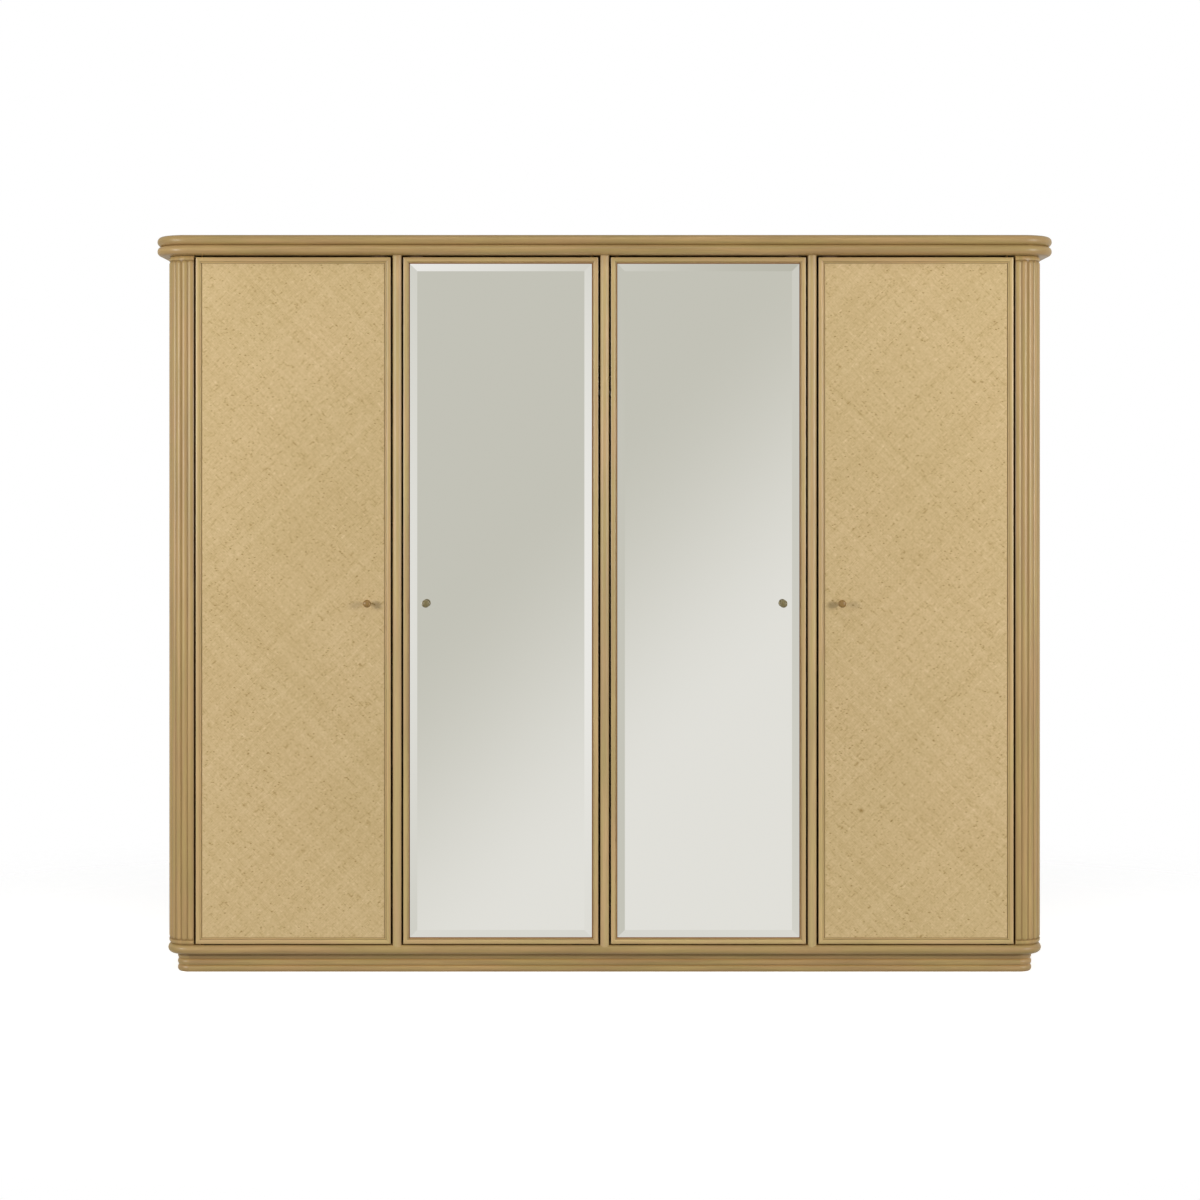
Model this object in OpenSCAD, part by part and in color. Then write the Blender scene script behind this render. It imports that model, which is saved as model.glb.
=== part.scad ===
// Four-door armoire: two outer doors faced with woven matting, two inner doors with bevelled
// mirrors, reeded corner posts, a double-bead cornice and a reeded plinth.
// Millimetres, +Z up, +X to the right and +Y to the wall. The origin is the middle of the
// footprint, on the floor.

/* [Overall] */
// Width over the cornice
overall_w = 2605; // [2200:5:3000]
// Depth from the front of the cornice to the wall
overall_d = 650; // [600:5:750]
// Height from the floor to the top of the cornice
overall_h = 2132; // [1900:1:2400]

/* [Cornice and plinth] */
// How far the cornice stands out past the posts
cornice_overhang = 34; // [32:1:50]
// Height of each large bead: two on the cornice and one on the base board
bead_h = 28; // [24:1:32]
// How far a large bead swells out
bead_swell = 11.8; // [8:0.1:11.8]
// How far the base board's bead stands out past the posts
base_overhang = 3; // [1:0.5:8]
// Height of each plinth reed
plinth_reed_h = 18; // [14:1:22]
// Number of plinth reeds
plinth_reeds = 3; // [2:1:4]
// How far a plinth reed swells out
plinth_swell = 4; // [2:0.5:6]
// How far the plinth stands back from the posts
plinth_setback = 24.5; // [20:0.5:30]
// Thickness of the plinth rails
plinth_t = 30; // [20:1:34]

/* [Corner posts] */
// Radius of the rounded corner
post_r = 63; // [60:1:66]
// Width of one reed
reed_w = 18; // [16:0.5:18.5]
// Number of reeds round the corner
corner_reeds = 5; // [5:1:5]
// Radius of a reed's face
reed_r = 14; // [13:0.5:16]
// Depth of the grooves between reeds
reed_depth = 3; // [2.5:0.1:3]
// How far the plain bands stand out past the reeds
band_proud = 0.3; // [0.2:0.1:1]
// Height of the plain band at each end of a post
post_band = 13.5; // [12:0.5:20]
// Radius of the rounded shoulder at each end of a post
post_shoulder = 8.8; // [6:0.1:10]

/* [Mullions and partitions] */
// Width of a mullion and of the partition behind it
mullion_w = 25; // [22:1:30]
// Depth of a mullion
mullion_d = 44; // [36:1:60]
// How far a mullion's front swells out
mullion_swell = 6; // [3:0.5:8]

/* [Doors] */
// Gap on each side of a door
door_gap = 6; // [5:0.5:8]
// Gap above a door
door_gap_top = 6; // [4:0.5:8]
// Gap under a door
door_gap_bottom = 4; // [3:0.5:6]
// Thickness of a door
door_t = 26; // [24:1:30]
// Width of the solid edging round a door
edging_w = 18; // [16:1:24]
// Width of the low lip on the edging's inner side
lip_w = 5; // [4:0.5:7]
// How far the edging's outer bead swells out
edging_swell = 1.6; // [1:0.1:2]
// Depth of the panel face behind the door's front
panel_recess = 3.5; // [2.6:0.1:5]
// Thickness of the woven matting
matting_t = 2; // [1.5:0.5:3]
// Thickness of the mirror
mirror_t = 5; // [4:1:6]
// Width of the mirror's bevel
bevel_w = 22; // [15:1:30]
// Depth of the mirror's bevel at its edge
bevel_d = 2.5; // [1:0.5:3]

/* [Knobs] */
// Diameter of a knob's head
knob_dia = 23; // [20:1:28]
// How far a knob stands out from the door's front
knob_out = 28; // [24:1:30]
// Distance from a knob to the door's closing edge
knob_inset = 66; // [50:1:90]
// Height of the knobs above the floor
knob_z = 1070; // [900:1:1200]

/* [Pivot hinges] */
// Distance from the pivot to the door's hinged edge
pivot_inset = 17; // [16:0.5:20]
// Radius of the pivot pin
pin_r = 3; // [2.5:0.5:3]
// Running clearance round the pin
pin_clearance = 0.05; // [0.02:0.01:0.1]
// Thickness of a hinge leaf
leaf_t = 2; // [1.5:0.5:2]
// Length of a hinge leaf
leaf_l = 60; // [40:5:90]

/* [Inside] */
// Thickness of the shelves
shelf_t = 20; // [16:1:25]
// Number of shelves in each outer bay
outer_shelves = 4; // [2:1:5]
// Height of the clear space above a hat shelf
hat_space = 300; // [250:10:400]
// Radius of the hanging rails
rail_r = 12.5; // [10:0.5:15]
// Drop from the hat shelf to the middle of the hanging rail
rail_drop = 62; // [50:1:90]
// Thickness of the back panels
back_t = 8; // [6:1:12]

/* [Hidden] */
$fn = 64;
eps = 0.01;

front_y = -overall_d / 2 + cornice_overhang;    // plane of the door fronts and of the posts
wall_y = overall_d / 2;
body_x = overall_w / 2 - cornice_overhang;      // outer face of the posts
post_w = post_r + reed_w;
opening_x = body_x - post_w;                    // inner edge of the posts
plinth_h = plinth_reeds * plinth_reed_h;
floor_z = plinth_h + bead_h;                    // top of the base board
ceiling_z = overall_h - 2 * bead_h;             // underside of the cornice
zone_h = ceiling_z - floor_z;

bay_w = (2 * opening_x - 3 * mullion_w) / 4;
bay_pitch = bay_w + mullion_w;
door_w = bay_w - 2 * door_gap;
door_h = zone_h - door_gap_top - door_gap_bottom;
door_z = floor_z + door_gap_bottom;
panel_w = door_w - 2 * edging_w;
panel_h = door_h - 2 * edging_w;

// The pivot stands in the middle of the door's thickness.
pivot_y = front_y + door_t / 2;
leaf_margin = 2;                                // metal round the pin in a hinge leaf
leaf_w = 2 * (pin_r + leaf_margin);
pin_depth = 10;                                 // reach of a pin into the door
hole_clearance = 0.6;                           // clearance of the drilled holes that hold no bearing
washer_play = 0.1;                              // play between a thrust washer and the door
mitre_joint = 0.1;                              // hairline between two mitred bars

// Each bay: name, column (left to right), side of the hinge (-1 left, 1 right), mirrored or woven.
BAYS = [
    ["outer_left", 0, -1, false],
    ["inner_left", 1, 1, true],
    ["inner_right", 2, -1, true],
    ["outer_right", 3, 1, false],
];
SIDES = [["left", -1], ["right", 1]];
MULLIONS = [["left", -1], ["centre", 0], ["right", 1]];

function bay_x(column) = (column - 1.5) * bay_pitch;
function pivot_x(bay) = bay_x(bay[1]) + bay[2] * (door_w / 2 - pivot_inset);
function arc_r(chord, swell) = (chord * chord / 4 + swell * swell) / (2 * swell);
function sided(stem) = [for (s = SIDES) str(stem, "_", s[0])];

DOOR_PARTS = ["edging", "core", "face", "knob", "hinge_leaves", "strike"];
function door_part_name(bay, part) =
    str(bay[0], "_", part == "face" ? (bay[3] ? "mirror" : "matting") : part);

WOOD = [0.72, 0.60, 0.41];
WOOD_DARK = [0.60, 0.47, 0.30];
MATTING = [0.77, 0.68, 0.49];
INSIDE = [0.78, 0.70, 0.55];
GLASS = [0.80, 0.83, 0.80];
STEEL = [0.62, 0.62, 0.60];
BRASS = [0.70, 0.58, 0.33];

// ---------- shared shapes ----------

// Section of a board edge of stacked beads: reach outwards along x, height along y.
module bead_section(reach, beads, h, swell) {
    r = arc_r(h, swell);
    square([reach - swell, beads * h]);
    for (i = [0 : beads - 1])
        intersection() {
            translate([reach - r, (i + 0.5) * h]) circle(r);
            translate([0, i * h]) square([reach, h]);
        }
}

// Section of a board edge whose top corner is rounded.
module shoulder_section(reach, h, r) {
    square([reach - r, h]);
    square([reach, h - r]);
    translate([reach - r, h - r]) circle(r);
}

// Lays a section (outwards, up) along +X for a length, facing -Y from y = 0.
module run_front(length) {
    mirror([0, 1, 0]) rotate([90, 0, 90]) linear_extrude(length) children();
}

// Lays a section (outwards, up) along -Y for a length, facing +X from x = 0.
module run_side(length) {
    rotate([90, 0, 0]) linear_extrude(length) children();
}

// Turns a section (outwards, up) through the front right corner about the Z axis.
module turn_corner() {
    rotate([0, 0, -90]) rotate_extrude(angle = 90) children();
}

// A board with a beaded front, beaded sides and rounded front corners, standing on z = 0.
module beaded_board(half_w, y_front, corner_r, beads, h, swell) {
    corner_x = half_w - corner_r;
    corner_y = y_front + corner_r;
    translate([-corner_x, corner_y, 0]) cube([2 * corner_x, wall_y - corner_y, beads * h]);
    translate([-corner_x, corner_y, 0])
        run_front(2 * corner_x) bead_section(corner_r, beads, h, swell);
    for (m = [0, 1])
        mirror([m, 0, 0]) {
            translate([corner_x, wall_y, 0])
                run_side(wall_y - corner_y) bead_section(corner_r, beads, h, swell);
            translate([corner_x, corner_y, 0])
                turn_corner() bead_section(corner_r, beads, h, swell);
        }
}

// A frame of four mitred bars, w wide and h high in the XZ plane, from its lower left corner.
// The bar's section is given as children: x inwards from the outer edge, y backwards.
module mitred_frame(w, h) {
    for (turn = [[0, 0, 0, w], [w, 0, 90, h], [w, h, 180, w], [0, h, 270, h]])
        translate([turn[0], 0, turn[1]])
            rotate([0, -turn[2], 0])
                mitred_bar(turn[3]) children();
}

// One bar of such a frame, lying along +X with its outer edge on z = 0. Each mitre is cut back
// by half of the hairline joint.
module mitred_bar(length) {
    back = mitre_joint / sqrt(2);
    difference() {
        multmatrix([[0, 0, 1, 0], [0, 1, 0, 0], [1, 0, 0, 0], [0, 0, 0, 1]])
            linear_extrude(length) children();
        for (end = [0, 1])
            translate([end * length, -1, 0])
                mirror([end, 0, 0])
                    translate([back, 0, 0]) rotate([0, -45, 0])
                        translate([-3 * edging_w, 0, 0]) cube([6 * edging_w, door_t + 2, 3 * edging_w]);
    }
}

lip_drop_out = 2.1;                             // depth of the lip beside the bead
lip_drop_in = 2.6;                              // depth of the lip beside the panel
lip_overlap = 1;                                // how far the lip runs in under the bead

// Section of a door edging: a soft bead outside, then a lower lip that slopes to the panel.
module edging_section() {
    bead_w = edging_w - lip_w;
    r = arc_r(bead_w, edging_swell);
    half_t = door_t / 2;
    intersection() {
        translate([bead_w / 2, r]) circle(r);
        square([bead_w, half_t]);
    }
    polygon([[bead_w - lip_overlap, half_t / 2], [bead_w - lip_overlap, lip_drop_out],
             [edging_w, lip_drop_in], [edging_w, door_t], [0, door_t], [0, half_t / 2]]);
}

// ---------- plinth, base and cornice ----------

plinth_x = body_x - plinth_setback;
plinth_y = front_y + plinth_setback;
plinth_r = post_r - plinth_setback;

module plinth_rail_section() {
    intersection() {
        bead_section(plinth_r, plinth_reeds, plinth_reed_h, plinth_swell);
        translate([plinth_r - plinth_t, 0]) square([plinth_t, plinth_h]);
    }
}

module plinth_front() {
    color(WOOD)
        translate([-(plinth_x - plinth_r), plinth_y + plinth_r, 0])
            run_front(2 * (plinth_x - plinth_r)) plinth_rail_section();
}

module plinth_side() {
    color(WOOD)
        translate([plinth_x - plinth_r, wall_y, 0])
            run_side(wall_y - plinth_y - plinth_r) plinth_rail_section();
}

module plinth_back() {
    color(WOOD_DARK)
        translate([-(plinth_x - plinth_t), wall_y - plinth_t, 0])
            cube([2 * (plinth_x - plinth_t), plinth_t, plinth_h]);
}

module plinth_corners() {
    color(WOOD)
        for (m = [0, 1])
            mirror([m, 0, 0])
                translate([plinth_x - plinth_r, plinth_y + plinth_r, 0])
                    turn_corner() bead_section(plinth_r, plinth_reeds, plinth_reed_h, plinth_swell);
}

module base_board_blank() {
    translate([0, 0, plinth_h])
        beaded_board(body_x + base_overhang, front_y - base_overhang, post_r + base_overhang,
                     1, bead_h, bead_swell);
}

module base_board() {
    color(WOOD)
        difference() {
            base_board_blank();
            for (bay = BAYS) frame_leaf_space(bay, floor_z - leaf_t, leaf_t + 1);
        }
}

module cornice_board(z) {
    translate([0, 0, z])
        beaded_board(overall_w / 2, -overall_d / 2, post_r + cornice_overhang, 1, bead_h, bead_swell);
}

module cornice_lower() {
    color(WOOD)
        difference() {
            cornice_board(ceiling_z);
            for (bay = BAYS) frame_leaf_space(bay, ceiling_z - 1, leaf_t + 1);
        }
}

module cornice_upper() {
    color(WOOD) cornice_board(ceiling_z + bead_h);
}

// ---------- posts and sides ----------

// Plan of the reeded length of the right-hand post, with the corner's centre at the origin.
// The reeds' crowns lie just inside the face of the plain bands.
module reeded_plan() {
    crown_r = post_r - band_proud;
    core_r = crown_r - reed_depth;
    reed_at = crown_r - reed_r;
    step = 90 / corner_reeds;
    intersection() {
        translate([-reed_w, -2 * post_r]) square([3 * post_r, 2 * post_r + reed_w]);
        union() {
            translate([-2 * reed_w, -core_r]) square([2 * reed_w, core_r + 2 * reed_w]);
            translate([-reed_w, 0]) square([core_r + reed_w, 2 * reed_w]);
            circle(core_r);
            translate([-reed_w / 2, -reed_at]) circle(reed_r);
            translate([reed_at, reed_w / 2]) circle(reed_r);
            for (i = [0 : corner_reeds - 1])
                rotate(-(i + 0.5) * step) translate([reed_at, 0]) circle(reed_r);
        }
    }
}

// The plain band at a post's top end, with its rounded shoulder, standing on z = 0.
module post_end() {
    translate([-reed_w, 0, 0]) cube([reed_w, reed_w, post_band]);
    translate([-reed_w, 0, 0]) run_front(reed_w) shoulder_section(post_r, post_band, post_shoulder);
    translate([0, reed_w, 0]) run_side(reed_w) shoulder_section(post_r, post_band, post_shoulder);
    turn_corner() shoulder_section(post_r, post_band, post_shoulder);
}

module post() {
    color(WOOD)
        translate([body_x - post_r, front_y + post_r, 0]) {
            translate([0, 0, floor_z + post_band]) mirror([0, 0, 1]) post_end();
            translate([0, 0, floor_z + post_band])
                linear_extrude(zone_h - 2 * post_band) reeded_plan();
            translate([0, 0, ceiling_z - post_band]) post_end();
        }
}

side_t = 20;
side_edging_t = 8;                              // thickness of the edging laid on the side panel
stile_d = 50;                                   // front to back
stile_t = side_t + side_edging_t;
side_y = front_y + post_w;                      // front of the side panel, behind the post
side_l = wall_y - stile_d - side_y;
side_face_x = body_x - side_edging_t;           // outer face of the side panel

module rear_stile() {
    color(WOOD)
        translate([body_x - stile_t, wall_y - stile_d, floor_z]) cube([stile_t, stile_d, zone_h]);
}

module side_panel() {
    color(WOOD_DARK)
        translate([side_face_x - side_t, side_y, floor_z]) cube([side_t, side_l, zone_h]);
}

module side_edging() {
    color(WOOD)
        translate([body_x, side_y, floor_z])
            rotate([0, 0, 90])
                mitred_frame(side_l, zone_h)
                    intersection() {
                        edging_section();
                        square([edging_w, side_edging_t]);
                    }
}

module side_matting() {
    color(MATTING)
        translate([side_face_x, side_y + edging_w, floor_z + edging_w])
            cube([matting_t, side_l - 2 * edging_w, zone_h - 2 * edging_w]);
}

module back_panel() {
    joint_gap = 0.5;
    color(INSIDE)
        translate([joint_gap, wall_y - back_t, floor_z])
            cube([body_x - stile_t - joint_gap, back_t, zone_h]);
}

// ---------- mullions, partitions and fittings inside ----------

// Plan of a mullion: a rounded front, with its crown on y = 0.
module mullion_plan() {
    r = arc_r(mullion_w, mullion_swell);
    translate([-mullion_w / 2, mullion_swell]) square([mullion_w, mullion_d - mullion_swell]);
    intersection() {
        translate([0, r]) circle(r);
        translate([-mullion_w / 2, 0]) square([mullion_w, mullion_swell + eps]);
    }
}

// The foot is coped over the base board's bead.
module mullion(place) {
    foot = bead_h / 2;
    color(WOOD)
        difference() {
            translate([place * bay_pitch, front_y, floor_z - foot])
                linear_extrude(zone_h + foot) mullion_plan();
            translate([place * bay_pitch - mullion_w, front_y - base_overhang + post_r, plinth_h])
                run_front(2 * mullion_w) bead_section(post_r, 1, bead_h, bead_swell);
        }
}

partition_y = front_y + mullion_d;
inside_y = wall_y - back_t;

module partition(place) {
    color(INSIDE)
        translate([place * bay_pitch - mullion_w / 2, partition_y, floor_z])
            cube([mullion_w, inside_y - partition_y, zone_h]);
}

outer_from = bay_pitch + mullion_w / 2;         // partition face in an outer bay
outer_to = side_face_x - side_t;                // side panel face in an outer bay
shelf_gap = 1;                                  // clearance at each end of a shelf
outer_space = (zone_h - outer_shelves * shelf_t) / (outer_shelves + 1);
outer_shelf_setback = 4;                        // from the front of the side panel
inner_shelf_setback = 20;                       // from the front of the partition
outer_shelf_y = side_y + outer_shelf_setback;
inner_shelf_y = partition_y + inner_shelf_setback;
hat_z = ceiling_z - hat_space - shelf_t;
function outer_shelf_z(i) = floor_z + (i + 1) * outer_space + i * shelf_t;

module outer_bay_shelves() {
    color(INSIDE)
        for (i = [0 : outer_shelves - 1])
            translate([outer_from + shelf_gap, outer_shelf_y, outer_shelf_z(i)])
                cube([outer_to - outer_from - 2 * shelf_gap, inside_y - shelf_gap - outer_shelf_y, shelf_t]);
}

module hat_shelves() {
    color(INSIDE)
        for (m = [0, 1])
            mirror([m, 0, 0])
                translate([mullion_w / 2 + shelf_gap, inner_shelf_y, hat_z])
                    cube([bay_w - 2 * shelf_gap, inside_y - shelf_gap - inner_shelf_y, shelf_t]);
}

// Battens under both ends of every shelf.
module shelf_cleats() {
    cleat_w = 16;
    cleat_h = 22;
    cleat_l = 420;
    cleat_setback = 40;                         // from the back panel
    cleat_y = inside_y - cleat_setback - cleat_l;
    color(WOOD_DARK)
        for (m = [0, 1])
            mirror([m, 0, 0]) {
                for (i = [0 : outer_shelves - 1], x = [outer_from, outer_to - cleat_w])
                    translate([x, cleat_y, outer_shelf_z(i) - cleat_h])
                        cube([cleat_w, cleat_l, cleat_h]);
                for (x = [mullion_w / 2, bay_pitch - mullion_w / 2 - cleat_w])
                    translate([x, cleat_y, hat_z - cleat_h])
                        cube([cleat_w, cleat_l, cleat_h]);
            }
}

rail_y = (front_y + door_t + inside_y) / 2;
rail_z = hat_z - rail_drop;
socket_t = 14;
socket_floor = 4;
socket_wall = 5;
socket_play = 0.3;                              // clearance round the rail

module hanging_rails() {
    color(STEEL)
        for (m = [0, 1])
            mirror([m, 0, 0])
                translate([mullion_w / 2 + socket_floor, rail_y, rail_z])
                    rotate([0, 90, 0]) cylinder(h = bay_w - 2 * socket_floor, r = rail_r);
}

module rail_socket() {
    difference() {
        cylinder(h = socket_t, r = rail_r + socket_wall);
        translate([0, 0, socket_floor]) cylinder(h = socket_t, r = rail_r + socket_play);
    }
}

module rail_sockets() {
    color(STEEL)
        for (m = [0, 1])
            mirror([m, 0, 0]) {
                translate([mullion_w / 2, rail_y, rail_z]) rotate([0, 90, 0]) rail_socket();
                translate([bay_pitch - mullion_w / 2, rail_y, rail_z]) rotate([0, -90, 0]) rail_socket();
            }
}

// ---------- catches and hinges ----------

strike_l = 40;
strike_h = 14;
strike_t = 1;
catch_inset = 34;                               // catch's middle from the door's closing edge
catch_d = 18;
catch_gap = 0.4;

function catch_x(bay) = bay_x(bay[1]) - bay[2] * (door_w / 2 - catch_inset);

module catches() {
    color(WOOD_DARK)
        for (bay = BAYS)
            translate([catch_x(bay) - strike_l / 2, front_y + door_t + strike_t + catch_gap,
                       ceiling_z - door_gap_top - strike_h])
                cube([strike_l, catch_d, strike_h + door_gap_top]);
}

// Plan of a hinge leaf, pivot at the origin, reaching towards +X.
module leaf_plan() {
    circle(leaf_w / 2);
    translate([0, -leaf_w / 2]) square([leaf_l, leaf_w]);
}

module hinge_leaf(bay, z, hole_r) {
    translate([pivot_x(bay), pivot_y, z])
        mirror([bay[2] > 0 ? 1 : 0, 0, 0])
            difference() {
                linear_extrude(leaf_t) leaf_plan();
                translate([0, 0, -1]) cylinder(h = leaf_t + 2, r = hole_r);
            }
}

module frame_leaf_space(bay, z, h) {
    translate([pivot_x(bay), pivot_y, z])
        mirror([bay[2] > 0 ? 1 : 0, 0, 0]) linear_extrude(h) leaf_plan();
}

module frame_hinge_leaves() {
    color(BRASS)
        for (bay = BAYS, z = [floor_z - leaf_t, ceiling_z]) hinge_leaf(bay, z, pin_r);
}

module hinge_pins() {
    color(STEEL)
        for (bay = BAYS)
            translate([pivot_x(bay), pivot_y, 0]) {
                translate([0, 0, floor_z - leaf_t])
                    cylinder(h = leaf_t + door_gap_bottom + pin_depth, r = pin_r);
                translate([0, 0, ceiling_z - door_gap_top - pin_depth])
                    cylinder(h = pin_depth + door_gap_top + leaf_t, r = pin_r);
            }
}

// Thrust washers carry each door on its lower pivot.
module hinge_washers() {
    color(BRASS)
        for (bay = BAYS)
            translate([pivot_x(bay), pivot_y, floor_z])
                difference() {
                    cylinder(h = door_gap_bottom - washer_play, r = leaf_w / 2);
                    translate([0, 0, -1]) cylinder(h = door_gap_bottom + 2, r = pin_r + pin_clearance);
                }
}

// ---------- doors ----------

module door_edging(bay) {
    top_z = door_z + door_h;
    color(WOOD)
        difference() {
            translate([bay_x(bay[1]) - door_w / 2, front_y, door_z])
                mitred_frame(door_w, door_h) edging_section();
            frame_leaf_space(bay, door_z - 1, leaf_t + 1);
            frame_leaf_space(bay, top_z - leaf_t, leaf_t + 1);
            for (z = [door_z - 1, top_z - pin_depth - 1])
                translate([pivot_x(bay), pivot_y, z])
                    cylinder(h = pin_depth + 2, r = pin_r + hole_clearance);
        }
}

spigot_r = 3;
spigot_l = 16;                                  // length of the knob's spigot behind the panel face
knob_hole_r = spigot_r + hole_clearance;

function knob_x(bay) = bay_x(bay[1]) - bay[2] * (door_w / 2 - knob_inset);

module knob_hole(bay) {
    translate([knob_x(bay), front_y - 1, knob_z])
        rotate([-90, 0, 0]) cylinder(h = 1 + panel_recess + spigot_l + 1, r = knob_hole_r);
}

module door_core(bay) {
    face_y = front_y + panel_recess + (bay[3] ? mirror_t : matting_t);
    color(WOOD_DARK)
        difference() {
            translate([bay_x(bay[1]) - panel_w / 2, face_y, door_z + edging_w])
                cube([panel_w, front_y + door_t - face_y, panel_h]);
            knob_hole(bay);
        }
}

module door_face(bay) {
    difference() {
        translate([bay_x(bay[1]), front_y + panel_recess, door_z + edging_w])
            if (bay[3]) color(GLASS) bevelled_plate();
            else color(MATTING) translate([-panel_w / 2, 0, 0]) cube([panel_w, matting_t, panel_h]);
        knob_hole(bay);
    }
}

// Outline of a bevelled plate across its width: front at y = 0.
module bevel_outline(w) {
    polygon([[0, mirror_t], [0, bevel_d], [bevel_w, 0], [w - bevel_w, 0], [w, bevel_d], [w, mirror_t]]);
}

module bevelled_plate() {
    intersection() {
        translate([-panel_w / 2, 0, 0]) linear_extrude(panel_h) bevel_outline(panel_w);
        translate([-panel_w / 2 - 1, 0, 0])
            multmatrix([[0, 0, 1, 0], [0, 1, 0, 0], [1, 0, 0, 0], [0, 0, 0, 1]])
                linear_extrude(panel_w + 2) bevel_outline(panel_h);
    }
}

// A turned knob along +Z from the panel face: a foot ring, a waist, a domed head and a spigot behind.
module knob_body() {
    length = knob_out + panel_recess;
    head_r = knob_dia / 2;
    foot_r = 8;
    foot_h = 2.5;
    waist_r = 5.5;
    flare_h = 6;
    rim_h = 4;
    dome_h = 5;
    head_z = length - flare_h - rim_h - dome_h;
    dome_r = arc_r(knob_dia, dome_h);
    translate([0, 0, -spigot_l]) cylinder(h = spigot_l + 1, r = spigot_r);
    cylinder(h = foot_h, r = foot_r);
    cylinder(h = head_z, r = waist_r);
    translate([0, 0, head_z]) cylinder(h = flare_h, r1 = waist_r, r2 = head_r);
    translate([0, 0, head_z + flare_h]) cylinder(h = rim_h, r = head_r);
    intersection() {
        translate([0, 0, length - dome_r]) sphere(dome_r);
        translate([0, 0, length - dome_h]) cylinder(h = dome_h, r = head_r);
    }
}

module door_knob(bay) {
    color(WOOD_DARK)
        translate([knob_x(bay), front_y + panel_recess, knob_z]) rotate([90, 0, 0]) knob_body();
}

module door_hinge_leaves(bay) {
    color(BRASS)
        for (z = [door_z, door_z + door_h - leaf_t]) hinge_leaf(bay, z, pin_r + pin_clearance);
}

module door_strike(bay) {
    color(STEEL)
        translate([catch_x(bay) - strike_l / 2, front_y + door_t, door_z + door_h - strike_h])
            cube([strike_l, strike_t, strike_h]);
}

module door_part(bay, part) {
    if (part == "edging") door_edging(bay);
    if (part == "core") door_core(bay);
    if (part == "face") door_face(bay);
    if (part == "knob") door_knob(bay);
    if (part == "hinge_leaves") door_hinge_leaves(bay);
    if (part == "strike") door_strike(bay);
}

// Draws a right-hand piece, or its mirror image on the left.
module on_side(side) {
    if (side > 0) children();
    else mirror([1, 0, 0]) children();
}

// ---------- the assembly ----------

plinth_front();
plinth_back();
plinth_corners();
base_board();
cornice_lower();
cornice_upper();
for (s = SIDES) {
    on_side(s[1]) plinth_side();
    on_side(s[1]) post();
    on_side(s[1]) side_panel();
    on_side(s[1]) side_edging();
    on_side(s[1]) side_matting();
    on_side(s[1]) rear_stile();
    on_side(s[1]) back_panel();
    on_side(s[1]) outer_bay_shelves();
}
for (m = MULLIONS) {
    mullion(m[1]);
    partition(m[1]);
}
hat_shelves();
shelf_cleats();
hanging_rails();
rail_sockets();
catches();
frame_hinge_leaves();
hinge_pins();
hinge_washers();
for (b = BAYS, p = DOOR_PARTS)
    door_part(b, p);
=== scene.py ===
"""Finishes and fine shapes for the four-door armoire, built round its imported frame."""
import math

import bpy
import numpy as np
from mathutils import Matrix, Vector


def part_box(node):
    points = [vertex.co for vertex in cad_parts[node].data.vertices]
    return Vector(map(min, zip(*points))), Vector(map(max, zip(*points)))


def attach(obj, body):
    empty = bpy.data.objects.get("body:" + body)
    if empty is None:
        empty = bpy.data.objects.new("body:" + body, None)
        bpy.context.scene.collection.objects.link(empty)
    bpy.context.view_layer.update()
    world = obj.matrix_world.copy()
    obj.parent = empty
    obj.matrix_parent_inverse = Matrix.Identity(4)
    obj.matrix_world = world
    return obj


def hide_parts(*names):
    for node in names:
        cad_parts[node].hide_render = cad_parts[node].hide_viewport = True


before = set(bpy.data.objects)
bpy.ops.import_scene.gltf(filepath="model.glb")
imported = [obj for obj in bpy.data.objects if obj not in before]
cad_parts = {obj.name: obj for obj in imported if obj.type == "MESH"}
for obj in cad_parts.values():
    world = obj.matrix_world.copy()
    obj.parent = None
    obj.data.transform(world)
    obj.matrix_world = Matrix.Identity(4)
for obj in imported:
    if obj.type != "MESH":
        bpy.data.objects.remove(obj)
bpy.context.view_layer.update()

MM = 0.001

bl_info = {
    "name": "Armoire finishes",
    "version": (1, 0, 0),
    "blender": (4, 5, 0),
    "location": "3D View > Sidebar > Armoire",
    "description": "Builds the visible joinery, matting, mirrors and knobs of the armoire and its studio",
    "category": "Object",
}

SIDES = (("left", -1), ("right", 1))
DOORS = ("outer_left", "inner_left", "inner_right", "outer_right")
# Recess of the edges that face each other across a gap, which take the painted gap shade; 1 is the bottom of
# a groove.
GAP_SHADE = 1.6


def mirrored(door):
    """The two inner doors carry mirrors."""
    return door.startswith("inner")


# ---------- sizes and colours that a user would change ----------

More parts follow.
